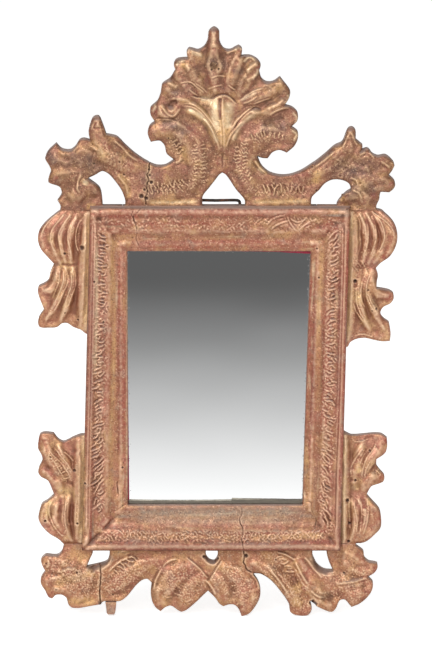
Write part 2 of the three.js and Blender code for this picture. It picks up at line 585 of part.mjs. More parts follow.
// What lies to one side of a cut that runs down the front view, -1 for the left and 1 for the right,
// as a cutter. It starts half a glue gap across the cut.
function besideCut(cut, side) {
  const edge = cut.map((p) => corner(p.x - side * glueGap / 2, p.y));
  const far = [edge[edge.length - 1], edge[0]].map((p) => corner(p.x + side * 2 * frameWidth, p.y));
  const outline = [...edge, ...far];
  if (THREE.ShapeUtils.isClockWise(outline)) outline.reverse();
  return board(outline, -overrun, frameDepth + overrun);
}

// What lies above or below a level seam, as a cutter. It too starts half a glue gap across the seam.
function aboveSeam(level) {
  const base = level - glueGap / 2;
  const above = rectangle(-frameWidth, base, frameWidth, base + frameHeight);
  return board(above, -overrun, frameDepth + overrun);
}

function belowSeam(level) {
  const top = level + glueGap / 2;
  const below = rectangle(-frameWidth, top - frameHeight, frameWidth, top);
  return board(below, -overrun, frameDepth + overrun);
}

// Rails. The moulded front layer is mitred. Behind it the stiles run the whole height, and the top and
// bottom rails fit between them.
const lapFace = { stile: rebateDepth, rail: rebateDepth + glueGap };

function railFront(fromCorner, toCorner, profileShares, backDepth) {
  const mitre = (at, farEnd) => {
    const section = profileShares.map(([share, rise]) => {
      const p = outerQuad[at].clone().lerp(sightQuad[at], share);
      return place(p.x, sightEdgeDepth + rise * (frameDepth - sightEdgeDepth), p.y);
    });
    const sight = place(sightQuad[at].x, backDepth, sightQuad[at].y);
    const outer = place(outerQuad[at].x, backDepth, outerQuad[at].y);
    const towards = place(
      sightQuad[farEnd].x - sightQuad[at].x, 0, sightQuad[farEnd].y - sightQuad[at].y,
    ).normalize();
    return [...section, sight, outer].map((p) => p.addScaledVector(towards, glueGap / 2));
  };
  const cap = profileShares.map(([share, rise]) => corner(share, rise));
  cap.push(corner(1, -1), corner(0, -1));
  return loft([mitre(fromCorner, toCorner), mitre(toCorner, fromCorner)], cap);
}

function stileBack(topCorner, bottomCorner) {
  const line = [rebateQuad[topCorner], rebateQuad[bottomCorner]];
  const top = meetingPoint(...line, outerQuad.topLeft, outerQuad.topRight);
  const bottom = meetingPoint(...line, outerQuad.bottomLeft, outerQuad.bottomRight);
  const outline = [outerQuad[topCorner], top, bottom, outerQuad[bottomCorner]];
  if (THREE.ShapeUtils.isClockWise(outline)) outline.reverse();
  return board(outline, 0, lapFace.stile);
}

function railBack(outerFrom, outerTo) {
  const leftLine = [rebateQuad.topLeft, rebateQuad.bottomLeft];
  const rightLine = [rebateQuad.topRight, rebateQuad.bottomRight];
  const outerLine = [outerQuad[outerFrom], outerQuad[outerTo]];
  const innerLine = [rebateQuad[outerFrom], rebateQuad[outerTo]];
  const gap = corner(glueGap, 0);
  const outline = [
    meetingPoint(...leftLine, ...outerLine).add(gap), meetingPoint(...leftLine, ...innerLine).add(gap),
    meetingPoint(...rightLine, ...innerLine).sub(gap), meetingPoint(...rightLine, ...outerLine).sub(gap),
  ];
  if (THREE.ShapeUtils.isClockWise(outline)) outline.reverse();
  const mitred = [
    ...[sightQuad[outerFrom], outerQuad[outerFrom]].map((p) => p.clone().addScaledVector(gap, 1 / 2)),
    ...[outerQuad[outerTo], sightQuad[outerTo]].map((p) => p.clone().addScaledVector(gap, -1 / 2)),
  ];
  if (THREE.ShapeUtils.isClockWise(mitred)) mitred.reverse();
  return board(outline, 0, lapFace.rail).intersect(board(mitred, -overrun, frameDepth));
}

const solids = new Map();
solids.set("top_rail", railFront("topRight", "topLeft", stileProfileShares, lapFace.rail)
  .add(railBack("topLeft", "topRight")));
solids.set("bottom_rail", railFront("bottomLeft", "bottomRight", bottomProfileShares, lapFace.rail)
  .add(railBack("bottomLeft", "bottomRight")));
solids.set("left_stile", railFront("topLeft", "bottomLeft", stileProfileShares, lapFace.stile)
  .add(stileBack("topLeft", "bottomLeft")));
solids.set("right_stile", railFront("bottomRight", "topRight", stileProfileShares, lapFace.stile)
  .add(stileBack("topRight", "bottomRight")));

// Carved boards round the frame. They stop a glue gap short of the rails and of each other.
const quadBoard = (quad, fromDepth, toDepth) => board(outlineOfQuad(quad).reverse(), fromDepth, toDepth);
const frameCutter = quadBoard(grownQuad(outerQuad, glueGap), -overrun, frameDepth + overrun);

const frameLeft = outerQuad.topLeft.x;
const frameRight = outerQuad.topRight.x;
const frameFootLeft = outerQuad.bottomLeft.x;
const frameFootRight = outerQuad.bottomRight.x;
const crestTraced = tracedBy(
  crestColumnPixels,
  [frameLeft - crestLeftReach, frameLeft, frameRight, frameRight + crestRightReach],
  crestRowPixels,
  [crestHeight, 0],
);
const upperSeam = -seamDrop;
const lowerSeam = seamDrop - frameHeight;

const crest = carvedBoard(crestOutlinePixels, crestTraced, crestFieldDepth, crestDepth, crestRidges)
  .subtract(frameCutter)
  .subtract(belowSeam(upperSeam));
const crestLeftJoint = crestLeftJointPixels.map(crestTraced);
const crestRightJoint = crestRightJointPixels.map(crestTraced);
solids.set("crest_left_wing", crest.subtract(besideCut(crestLeftJoint, 1)));
solids.set("crest_centre", crest
  .subtract(besideCut(crestLeftJoint, -1))
  .subtract(besideCut(crestRightJoint, 1)));
solids.set("crest_right_wing", crest.subtract(besideCut(crestRightJoint, -1)));

const upperLeftEarTraced = tracedBy(
  upperLeftEarColumnPixels,
  [frameLeft - upperLeftEarReach, frameLeft],
  upperLeftEarRowPixels,
  [0, -upperLeftEarDrop],
);
const upperRightEarTraced = tracedBy(
  upperRightEarColumnPixels,
  [frameRight, frameRight + upperRightEarReach],
  upperRightEarRowPixels,
  [0, -upperRightEarDrop],
);
const lowerLeftEarTraced = tracedBy(
  lowerLeftEarColumnPixels,
  [frameFootLeft - lowerLeftEarReach, frameFootLeft],
  lowerLeftEarRowPixels,
  [lowerLeftEarRise - frameHeight, -frameHeight],
);
const lowerRightEarTraced = tracedBy(
  lowerRightEarColumnPixels,
  [frameFootRight, frameFootRight + lowerRightEarReach],
  lowerRightEarRowPixels,
  [lowerRightEarRise - frameHeight, -frameHeight],
);

const ears = {
  upper_left_ear: [upperLeftEarOutlinePixels, upperLeftEarTraced, upperLeftEarRidges],
  upper_right_ear: [upperRightEarOutlinePixels, upperRightEarTraced, upperRightEarRidges],
  lower_left_ear: [lowerLeftEarOutlinePixels, lowerLeftEarTraced, lowerLeftEarRidges],
  lower_right_ear: [lowerRightEarOutlinePixels, lowerRightEarTraced, lowerRightEarRidges],
};
for (const [name, [runs, traced, ridges]] of Object.entries(ears)) {
  solids.set(name, carvedBoard(runs, traced, earFieldDepth, earDepth, ridges)
    .subtract(frameCutter)
    .subtract(aboveSeam(upperSeam))
    .subtract(belowSeam(lowerSeam)));
}

const apronTraced = tracedBy(
  apronColumnPixels,
  [frameFootLeft - apronLeftReach, frameFootLeft, frameFootRight, frameFootRight + apronRightReach],
  apronRowPixels,
  [-frameHeight, -frameHeight - apronDrop],
);
const apron = carvedBoard(apronOutlinePixels, apronTraced, apronFieldDepth, apronDepth, apronRidges,
  apronHolePixels)
  .subtract(frameCutter)
  .subtract(aboveSeam(lowerSeam));
const apronLeftJoint = apronLeftJointPixels.map(apronTraced);
const apronRightJoint = apronRightJointPixels.map(apronTraced);
solids.set("apron_left_leaf", apron.subtract(besideCut(apronLeftJoint, 1)));
solids.set("apron_centre", apron
  .subtract(besideCut(apronLeftJoint, -1))
  .subtract(besideCut(apronRightJoint, 1)));
solids.set("apron_right", apron.subtract(besideCut(apronRightJoint, -1)));

// Cuts a solid's shape, or a slightly larger one, out of every piece that it is let into.
function letInto(cutter, names) {
  for (const name of names) solids.set(name, solids.get(name).subtract(cutter));
}

// Pegs and dowels: each is a rod in a bore a little wider and longer than itself.
function pin(name, from, to, radius, into) {
  const along = to.clone().sub(from).normalize().multiplyScalar(boreEndRoom);
  letInto(rod(from.clone().sub(along), to.clone().add(along), radius + boreClearance, roundSides), into);
  solids.set(name, rod(from, to, radius, roundSides));
}

function cornerPeg(name, at, into) {
  const middle = outerQuad[at].clone().lerp(rebateQuad[at], 1 / 2);
  pin(name, place(middle.x, glueGap, middle.y), place(middle.x, pegLength, middle.y), pegRadius, into);
}
cornerPeg("corner_peg_top_left", "topLeft", ["left_stile", "top_rail"]);
cornerPeg("corner_peg_top_right", "topRight", ["right_stile", "top_rail"]);
cornerPeg("corner_peg_bottom_right", "bottomRight", ["right_stile", "bottom_rail"]);
cornerPeg("corner_peg_bottom_left", "bottomLeft", ["left_stile", "bottom_rail"]);

const crestDowels = {
  crest_dowel_left_end: "crest_left_wing",
  crest_dowel_left: "crest_left_wing",
  crest_dowel_centre_left: "crest_centre",
  crest_dowel_centre_right: "crest_centre",
  crest_dowel_right_end: "crest_right_wing",
};
Object.entries(crestDowels).forEach(([name, host], i) => {
  const x = crestTraced([crestDowelPixels[i], 0]).x;
  const foot = place(x, crestFieldDepth / 2, -dowelLength / 2);
  pin(name, foot, foot.clone().setZ(dowelLength / 2), dowelRadius,
    ["top_rail", "left_stile", "right_stile", host]);
});
apronDowelPixels.forEach((pixel, i) => {
  const x = apronTraced([pixel, 0]).x;
  const foot = place(x, apronFieldDepth / 2, -frameHeight - dowelLength / 2);
  pin("apron_dowel_" + (i + 1), foot, foot.clone().setZ(dowelLength / 2 - frameHeight), dowelRadius,
    ["bottom_rail", "left_stile", "right_stile", "apron_centre", "apron_right"]);
});

// Level dowels between the ears and the stiles, centred on the stile's outer side.
function earDowels(ear, stile, traced, heights, side) {
  heights.forEach((y, i) => {
    const level = traced([0, y]).y;
    const row = [corner(-frameWidth, level), corner(frameWidth, level)];
    const middle = meetingPoint(...row, ...side.map((at) => outerQuad[at]));
    const depth = earFieldDepth / 2;
    pin(ear + "_dowel_" + (i + 1), place(middle.x - dowelLength / 2, depth, level),
      place(middle.x + dowelLength / 2, depth, level), dowelRadius, [ear, stile]);
  });
}
const leftSide = ["topLeft", "bottomLeft"];
const rightSide = ["topRight", "bottomRight"];
earDowels("upper_left_ear", "left_stile", upperLeftEarTraced, upperLeftEarDowelPixels, leftSide);
earDowels("upper_right_ear", "right_stile", upperRightEarTraced, upperRightEarDowelPixels, rightSide);
earDowels("lower_left_ear", "left_stile", lowerLeftEarTraced, lowerLeftEarDowelPixels, leftSide);
earDowels("lower_right_ear", "right_stile", lowerRightEarTraced, lowerRightEarDowelPixels, rightSide);

function levelDowel(name, at, depth, into) {
  const from = place(at.x - dowelLength / 2, depth, at.y);
  pin(name, from, from.clone().setX(at.x + dowelLength / 2), dowelRadius, into);
}
levelDowel("crest_joint_dowel_left", crestTraced(crestLeftJointDowelPixels), crestFieldDepth / 2,
  ["crest_left_wing", "crest_centre"]);
levelDowel("crest_joint_dowel_right", crestTraced(crestRightJointDowelPixels), crestFieldDepth / 2,
  ["crest_centre", "crest_right_wing"]);
levelDowel("apron_joint_dowel", apronTraced(apronLeftJointDowelPixels), apronFieldDepth / 2,
  ["apron_left_leaf", "apron_centre"]);
const leafDowel = apronTraced(leafDowelPixels);
const leafDowelFoot = place(leafDowel.x, earFieldDepth / 2, lowerSeam - dowelLength / 2);
pin("leaf_dowel", leafDowelFoot, leafDowelFoot.clone().setZ(lowerSeam + dowelLength / 2), dowelRadius,
  ["lower_left_ear", "apron_left_leaf"]);

// Foot peg: a foot with its lower corners cut off, and a thinner tenon let into the apron.
const footAt = apronTraced(footPixels);
const footHalf = footWidth / 2;
const footTop = footAt.y - glueGap;
const footBottom = footAt.y - footDrop;
const footCorner = footWidth / 5;
const footSlope = footWidth / 10;
const footMiddle = apronFieldDepth / 2;
const footOutline = [
  corner(-footHalf, footTop), corner(footSlope - footHalf, footBottom + footCorner),
  corner(footCorner - footHalf, footBottom), corner(footHalf - footCorner, footBottom),
  corner(footHalf - footSlope, footBottom + footCorner), corner(footHalf, footTop),
].map((p) => p.setX(p.x + footAt.x));

// The tenon, or its mortise when it is grown by a clearance.
function tenon(grownBy, top, base) {
  const half = tenonWidth / 2 + grownBy;
  const halfThickness = tenonThickness / 2 + grownBy;
  return board(rectangle(footAt.x - half, base, footAt.x + half, top),
    footMiddle - halfThickness, footMiddle + halfThickness);
}
letInto(tenon(boreClearance, footAt.y + tenonLength + boreEndRoom, footBottom), ["apron_centre"]);
solids.set("left_foot", board(footOutline, footMiddle - footThickness / 2, footMiddle + footThickness / 2)
  .add(tenon(0, footAt.y + tenonLength, footTop - footCorner)));

// Plug in the crest's old hole.
const plugAt = crestTraced(plugPixels);
const plugFront = (crestFieldDepth + crestDepth) / 2;
const plugEnd = place(plugAt.x, plugFront - plugDepth, plugAt.y);
const plugHoleEnd = place(plugAt.x, plugFront - plugDepth - boreEndRoom, plugAt.y);
const plugHoleMouth = place(plugAt.x, crestDepth + overrun, plugAt.y);
letInto(rod(plugHoleEnd, plugHoleMouth, plugRadius + boreClearance, roundSides), ["crest_centre"]);
solids.set("crest_plug", rod(plugEnd, place(plugAt.x, plugFront, plugAt.y), plugRadius, roundSides));

// Lining, plate, packing strips and backboard, each a glue gap behind the one in front of it.
const liningFront = rebateDepth - glueGap;
const plateFront = liningFront - liningThickness - glueGap;
const backboardFront = plateFront - plateThickness - glueGap;
const backboardBack = backboardFront - backboardThickness;

const liningInner = grownQuad(sightQuad, plateClearance);
liningInner.topRight.y = sightQuad.topRight.y - liningTopRightShow;
liningInner.bottomLeft.x = sightQuad.bottomLeft.x + liningBottomLeftShow;
const liningOuter = grownQuad(rebateQuad, -glueGap);
solids.set("red_lining", quadBoard(liningOuter, liningFront - liningThickness, liningFront)
  .subtract(quadBoard(liningInner, -overrun, frameDepth)));

const plateQuad = grownQuad(rebateQuad, -plateClearance);
solids.set("mirror_plate", quadBoard(plateQuad, plateFront - plateThickness, plateFront));
solids.set("backboard", quadBoard(plateQuad, backboardBack, backboardFront));

const stripBase = sightQuad.bottomLeft.y + glueGap;
const stripBack = plateFront + glueGap;
const stripLeft = sightQuad.bottomLeft.x + packingStripMargin;
const stripRight = sightQuad.bottomRight.x - packingStripMargin;
const stripMeeting = THREE.MathUtils.lerp(stripLeft, stripRight, packingMeetingShare);
function packingStrip(left, right) {
  const face = rectangle(left, stripBase, right, stripBase + packingStripHeight);
  return board(face, stripBack, stripBack + packingStripDepth);
}
solids.set("packing_strip_left", packingStrip(stripLeft, stripMeeting - glueGap / 2));
solids.set("packing_strip_right", packingStrip(stripMeeting + glueGap / 2, stripRight));

// Brads driven level into the rebate's wall behind the backboard, two on each side.
const bradDepth = backboardBack - glueGap - bradRadius;
const sideRails = ["top_rail", "right_stile", "bottom_rail", "left_stile"];
const rebateCorners = outlineOfQuad(rebateQuad);
sideRails.forEach((rail, i) => {
  const from = rebateCorners[i];
  const to = rebateCorners[(i + 1) % rebateCorners.length];
  const along = to.clone().sub(from).normalize();
  const outwards = corner(-along.y, along.x);
  bradShares.forEach((share, j) => {
    const wall = from.clone().lerp(to, share);
    const tip = wall.clone().addScaledVector(outwards, bradGrip);
    const neck = wall.clone().addScaledVector(outwards, bradGrip - bradLength);
    const end = neck.clone().addScaledVector(outwards, -bradHeadThickness);
    const at = (p) => place(p.x, bradDepth, p.y);
    const inHead = end.clone().lerp(neck, 1 / 2);
    const shank = rod(at(inHead), at(tip), bradRadius, bradSides);
    const head = rod(at(end), at(neck), bradHeadRadius, bradSides)
      .subtract(quadBoard(plateQuad, backboardBack - glueGap, frameDepth));
    const beyond = tip.clone().addScaledVector(outwards, boreEndRoom);
    letInto(rod(at(neck), at(beyond), bradRadius + boreClearance, bradSides), [rail]);
    solids.set("brad_" + rail + "_" + (j + 1), shank.add(head));
  });
});

// Bail: a round iron wire with its feet bent outwards into two staples. It leans on the crest's back.
const bailTop = bailRise;
const pivotHeight = bailTop - bailHeight;
const lean = Math.asin((pivotBehindBack - bailWireRadius - glueGap) / bailHeight);
const armAt = bailWidth / 2;
const footEnd = armAt + bailFootLength;
const bailHalf = [
  [footEnd, 0], [armAt + bailBend, 0], [armAt + bailBend / 3, bailBend / 3], [armAt, bailBend],
  [armAt, bailHeight - bailBend], [armAt - bailBend / 3, bailHeight - bailBend / 3],
  [armAt - bailBend, bailHeight], [0, bailHeight],
];
const bailPath = [...bailHalf, ...bailHalf.slice(0, -1).reverse().map(([x, up]) => [-x, up])];
const bailSteps = 28;
const bailPoints = bailPath.map(([x, up]) => place(
  x, up * Math.sin(lean) - pivotBehindBack, pivotHeight + up * Math.cos(lean),
));
solids.set("hanging_bail", wire(bailPoints, bailWireRadius, bailSteps));

// Each staple is a loop of wire round a foot of the bail, with its legs in the top rail.
const stapleHalfHeight = bailWireRadius + stapleRoom + stapleWireRadius;
const stapleAt = armAt + bailFootLength * 2 / 3;
const stapleSteps = 12;
function staplePath(x, legEnd) {
  const crown = [-1, -0.7, 0, 0.7, 1].map((share) => {
    const back = stapleHalfHeight * Math.cos(share * Math.PI / 2);
    const up = stapleHalfHeight * Math.sin(share * Math.PI / 2);
    return place(x, -pivotBehindBack - back, pivotHeight + up);
  });
  return [
    place(x, legEnd, pivotHeight - stapleHalfHeight),
    place(x, 0, pivotHeight - stapleHalfHeight),
    ...crown,
    place(x, 0, pivotHeight + stapleHalfHeight),
    place(x, legEnd, pivotHeight + stapleHalfHeight),
  ];
}
for (const [name, x] of [["staple_left", -stapleAt], ["staple_right", stapleAt]]) {
  const borePath = staplePath(x, stapleLegLength + boreEndRoom);
  letInto(wire(borePath, stapleWireRadius + boreClearance, stapleSteps), ["top_rail"]);
  solids.set(name, wire(staplePath(x, stapleLegLength), stapleWireRadius, stapleSteps));
}

// Finishes: burnished gold over red bole on the carving, bare cedar inside, iron and old glass.
const finishes = {
  gilt: { color: 0x9a6b4e, roughness: 0.48, metalness: 0.45 },
  giltEar: { color: 0xa8794f, roughness: 0.45, metalness: 0.5 },
  cedar: { color: 0x7a5438, roughness: 0.85, metalness: 0 },
  backboard: { color: 0x8c6a48, roughness: 0.9, metalness: 0 },
  darkWood: { color: 0x2b2019, roughness: 0.8, metalness: 0 },
  lining: { color: 0x7d1f2c, roughness: 0.9, metalness: 0 },
  plate: { color: 0xb9bdbf, roughness: 0.05, metalness: 1 },
  iron: { color: 0x2a2522, roughness: 0.6, metalness: 0.8 },
};

function finishOf(name) {
  if (name.includes("dowel") || name.includes("peg") || name === "crest_plug") return finishes.cedar;
  if (/^(brad|staple|hanging)/.test(name)) return finishes.iron;
  if (name.startsWith("packing")) return finishes.darkWood;
  if (name === "backboard") return finishes.backboard;
  if (name === "mirror_plate") return finishes.plate;
  if (name === "red_lining") return finishes.lining;
  return name.endsWith("_ear") ? finishes.giltEar : finishes.gilt;
}

// The part's origin is where a wall hook holds it: the underside of the bail's top bar, in the back plane.
const mirror = new THREE.Group();
mirror.position.set(0, 0, bailWireRadius - bailTop);
for (const [name, solid] of solids) {
  const mesh = new THREE.Mesh(geometryOf(wholeOf(solid)), new THREE.MeshStandardMaterial(finishOf(name)));
  mesh.name = name;
  mirror.add(mesh);
}

const part = new THREE.Group();
part.add(mirror);
export default part;
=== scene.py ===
"""Looks of a carved and gilt wall mirror: carved and worn surfaces, old plate, iron and a plain studio."""
import math

import bmesh
import bpy
import numpy as np
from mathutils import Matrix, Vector, noise
from mathutils.bvhtree import BVHTree
from mathutils.geometry import delaunay_2d_cdt
from mathutils.kdtree import KDTree


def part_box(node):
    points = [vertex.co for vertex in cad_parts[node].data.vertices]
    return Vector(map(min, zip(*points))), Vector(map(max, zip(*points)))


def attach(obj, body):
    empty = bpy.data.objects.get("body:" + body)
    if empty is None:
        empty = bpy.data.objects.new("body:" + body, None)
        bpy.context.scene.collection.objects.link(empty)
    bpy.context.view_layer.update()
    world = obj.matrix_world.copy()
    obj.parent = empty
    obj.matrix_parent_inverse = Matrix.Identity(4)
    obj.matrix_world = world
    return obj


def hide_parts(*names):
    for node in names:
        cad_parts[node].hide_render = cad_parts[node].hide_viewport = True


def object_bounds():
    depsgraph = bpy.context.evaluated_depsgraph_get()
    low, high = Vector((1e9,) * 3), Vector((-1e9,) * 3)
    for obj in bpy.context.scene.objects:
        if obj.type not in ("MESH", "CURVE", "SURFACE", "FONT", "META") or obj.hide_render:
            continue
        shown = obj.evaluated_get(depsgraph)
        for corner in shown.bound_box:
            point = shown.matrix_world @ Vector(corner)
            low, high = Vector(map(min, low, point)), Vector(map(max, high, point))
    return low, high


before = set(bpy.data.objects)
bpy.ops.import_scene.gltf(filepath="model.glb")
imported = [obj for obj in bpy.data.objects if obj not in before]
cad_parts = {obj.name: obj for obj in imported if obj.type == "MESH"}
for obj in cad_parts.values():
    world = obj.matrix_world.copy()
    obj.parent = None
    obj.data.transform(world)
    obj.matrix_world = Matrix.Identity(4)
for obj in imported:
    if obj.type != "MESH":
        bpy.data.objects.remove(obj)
cad_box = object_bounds()

# Rails
# Four moulded rails of soft wood, half-lapped and pegged behind, mitred in front. Each was coated with
# chalk gesso and red clay, gilded, and then worked with a rocked gouge between the bead and the hollow.

MM = 0.001
PITCH = 0.52
CAMERA_RISE = math.radians(8.4)
CAMERA_DISTANCE = 7.0
CAMERA_AIM = Vector((0.0004, -0.015, -0.1207))
PICTURE_COLUMNS = 432
PICTURE_ROWS = 648
METRES_PER_PIXEL = 0.000998

LOOK_UP = Vector((0, math.sin(CAMERA_RISE), math.cos(CAMERA_RISE)))
LOOK_AHEAD = Vector((0, math.cos(CAMERA_RISE), -math.sin(CAMERA_RISE)))
EYE = CAMERA_AIM - LOOK_AHEAD * CAMERA_DISTANCE


def on_board(column, row, depth):
    """Where a pixel of the front view meets the plane this many mm in front of the back: x and z in mm."""
    across = Vector((1, 0, 0)) * (column - PICTURE_COLUMNS / 2)
    aside = (across + LOOK_UP * (PICTURE_ROWS / 2 - row)) * (METRES_PER_PIXEL / CAMERA_DISTANCE)
    ray = LOOK_AHEAD + aside
    place = EYE + ray * ((-depth * MM - EYE.y) / ray.y)
    return place.x / MM, place.z / MM


def trace(words):
    """Points of a stroke from 'column,row column,row', in pixels of the front view."""
    return [tuple(float(number) for number in pair.split(",")) for pair in words.split()]


def strokes(table):
    """Rows parted by semicolons, each some words and numbers and a path: gives the path, then the rest."""
    for row in table.split(";"):
        words = row.split()
        told = [word if word.isalpha() else float(word) for word in words if "," not in word]
        yield " ".join(word for word in words if "," in word), *told


def flowing(points, step, closed=False):
    """Even points on a smooth curve through the given ones."""
    points = [np.array(p, float) for p in points]
    if len(points) == 2 and not closed:
        count = max(1, int(round(np.linalg.norm(points[1] - points[0]) / step)))
        return [points[0] + (points[1] - points[0]) * i / count for i in range(count + 1)]
    spans = len(points) if closed else len(points) - 1
    result = []
    for i in range(spans):
        b, c = points[i], points[(i + 1) % len(points)]
        a = points[i - 1] if closed or i > 0 else b * 2 - c
        d = points[(i + 2) % len(points)] if closed or i < spans - 1 else c * 2 - b
        count = max(1, int(round(np.linalg.norm(c - b) / step)))
        knots = [0.0]
        for p, q in ((a, b), (b, c), (c, d)):
            knots.append(knots[-1] + max(np.linalg.norm(q - p), 1e-6) ** 0.5)
        k0, k1, k2, k3 = knots
        for j in range(count):
            k = k1 + (k2 - k1) * j / count
            ab = (a * (k1 - k) + b * (k - k0)) / (k1 - k0)
            bc = (b * (k2 - k) + c * (k - k1)) / (k2 - k1)
            cd = (c * (k3 - k) + d * (k - k2)) / (k3 - k2)
            abc = (ab * (k2 - k) + bc * (k - k0)) / (k2 - k0)
            bcd = (bc * (k3 - k) + cd * (k - k1)) / (k3 - k1)
            result.append((abc * (k2 - k) + bcd * (k - k1)) / (k2 - k1))
    if not closed:
        result.append(points[-1])
    return result


def blur(values, sigma, along=None):
    """Gaussian blur of a grid, sigma in cells, or sigma up the rows and another along the columns."""
    for axis, spread in ((0, sigma), (1, sigma if along is None else along)):
        reach = max(1, int(math.ceil(spread * 2.6)))
        taps = np.exp(-0.5 * (np.arange(-reach, reach + 1) / spread) ** 2)
        taps /= taps.sum()
        padding = [(reach, reach) if a == axis else (0, 0) for a in (0, 1)]
        padded = np.pad(values, padding, mode="edge")
        length = values.shape[axis]
        total = np.zeros_like(values)
        for i, tap in enumerate(taps):
            total += tap * (padded[i:i + length] if axis == 0 else padded[:, i:i + length])
        values = total
    return values


def solid_copy(node):
    """A CAD node's mesh as a bmesh with its loose triangles joined."""
    mesh = bmesh.new()
    mesh.from_mesh(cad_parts[node].data)
    bmesh.ops.remove_doubles(mesh, verts=mesh.verts, dist=1e-6)
    return mesh


class Carving:
    """The front of some boards as depths in mm on a fine grid, which strokes of the gouge then change."""

    LAYERS = ("gold", "red", "grey", "pale", "dirt")

    def __init__(self, nodes, stroke_depth, softening, seed):
        self.stroke_depth = stroke_depth
        self.random = np.random.default_rng(seed)
        corners = [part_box(node) for node in nodes]
        low = [min(pair[0][i] for pair in corners) / MM - 3 for i in (0, 2)]
        high = [max(pair[1][i] for pair in corners) / MM + 3 for i in (0, 2)]
        self.x = np.arange(low[0], high[0], PITCH)
        self.z = np.arange(low[1], high[1], PITCH)
        self.depth = self.sounded(nodes, softening)
        self.layers = {name: np.zeros_like(self.depth) for name in self.LAYERS}

    def sounded(self, nodes, softening):
        """Depth of the CAD boards' fronts, sounded every other point and softened like carved wood."""
        whole = bmesh.new()
        for node in nodes:
            whole.from_mesh(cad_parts[node].data)
        tree = BVHTree.FromBMesh(whole)
        whole.free()
        xs, zs = self.x[::2], self.z[::2]
        found = np.zeros((len(zs), len(xs)))
        hit = np.zeros_like(found)
        ahead = Vector((0, 1, 0))
        for row, z in enumerate(zs):
            for column, x in enumerate(xs):
                place = tree.ray_cast(Vector((x * MM, -0.1, z * MM)), ahead)[0]
                if place is not None:
                    found[row, column] = -place.y / MM
                    hit[row, column] = 1
        filled, weight = found.copy(), hit.copy()
        for sigma in (2, 4, 8, 16):
            spread = blur(found * hit, sigma) / np.maximum(blur(hit, sigma), 1e-9)
            near = (weight == 0) & (blur(hit, sigma) > 1e-4)
            filled[near] = spread[near]
            weight[near] = 1
        soft = blur(filled, softening / (2 * PITCH))
        columns = np.interp(self.x, xs, np.arange(len(xs)))
        rows = np.interp(self.z, zs, np.arange(len(zs)))
        return sample(soft, columns[None, :] + 0 * rows[:, None], rows[:, None] + 0 * columns[None, :])

    def path(self, pixels, step=1.0):
        """Even points in mm on the curve through some pixels."""
        points = trace(pixels) if isinstance(pixels, str) else pixels
        return flowing([on_board(c, r, self.stroke_depth) for c, r in points], step)

    def near(self, path, reach):
        """The grid window round a path, with each point's distance from it, side and share along it."""
        path = np.array(path)
        column = np.searchsorted(self.x, [path[:, 0].min() - reach, path[:, 0].max() + reach])
        row = np.searchsorted(self.z, [path[:, 1].min() - reach, path[:, 1].max() + reach])
        window = (slice(row[0], row[1]), slice(column[0], column[1]))
        x, z = np.meshgrid(self.x[window[1]], self.z[window[0]])
        distance = np.full(x.shape, 1e9)
        side, share = np.zeros(x.shape), np.zeros(x.shape)
        run = np.linalg.norm(np.diff(path, axis=0), axis=1)
        start = np.concatenate([[0], np.cumsum(run)])
        for i, (a, b) in enumerate(zip(path[:-1], path[1:])):
            along = b - a
            part = ((x - a[0]) * along[0] + (z - a[1]) * along[1]) / max(along @ along, 1e-12)
            part = np.clip(part, 0, 1)
            dx, dz = x - a[0] - part * along[0], z - a[1] - part * along[1]
            away = np.hypot(dx, dz)
            closer = away < distance
            distance = np.where(closer, away, distance)
            side = np.where(closer, np.sign(along[0] * dz - along[1] * dx), side)
            share = np.where(closer, (start[i] + part * run[i]) / start[-1], share)
        return window, distance, side, share

    def round_about(self, pixel, reach):
        """The grid window round one pixel, with each point's distance from it."""
        x, z = on_board(*trace(pixel)[0], self.stroke_depth)
        return self.near([(x, z), (x + 0.01, z)], reach)[:2]

    @staticmethod
    def lip(distance, width, nick=0.5):
        """The profile of a lip left standing, with a nick beside it."""
        return np.exp(-(distance / width) ** 1.4) - nick * np.exp(-((distance - 2 * width) / width) ** 2)

    @staticmethod
    def tapered(share, fade):
        """One along the middle of a stroke, falling to nothing where the tool enters and leaves."""
        if fade <= 0:
            return np.ones_like(share)
        rise = np.clip(np.minimum(share, 1 - share) / fade, 0, 1)
        return rise * rise * (3 - 2 * rise)

    def swell(self, pixels, width, rise, fade=0.2):
        """A round raised form along a path."""
        window, distance, _, share = self.near(self.path(pixels), width * 2.4)
        self.depth[window] += rise * np.exp(-(distance / width) ** 2) * self.tapered(share, fade)

    def rib(self, pixels, width, rise, fade=0.2):
        """A crisp lip left standing between two gouge cuts, worn down here and there."""
        path = self.path(pixels)
        window, distance, _, share = self.near(path, width * 4)
        knots = max(4, len(path) // 3)
        worn = np.interp(share, np.linspace(0, 1, knots), self.random.uniform(0.45, 1.25, knots))
        self.depth[window] += rise * self.lip(distance, width) * worn * self.tapered(share, fade)

    def dash(self, path, width, reach, rise, nick=0.5):
        """One short lip along a path in mm."""
        window, distance, _, share = self.near(path, reach)
        self.depth[window] += rise * self.lip(distance, width, nick) * self.tapered(share, 0.3)

    def level(self, pixel, radius, depth):
        """A place pared down or filled to one depth."""
        window, distance = self.round_about(pixel, radius * 4)
        share = np.exp(-(np.maximum(distance - radius, 0) / radius) ** 2)
        self.depth[window] += (depth - self.depth[window]) * share

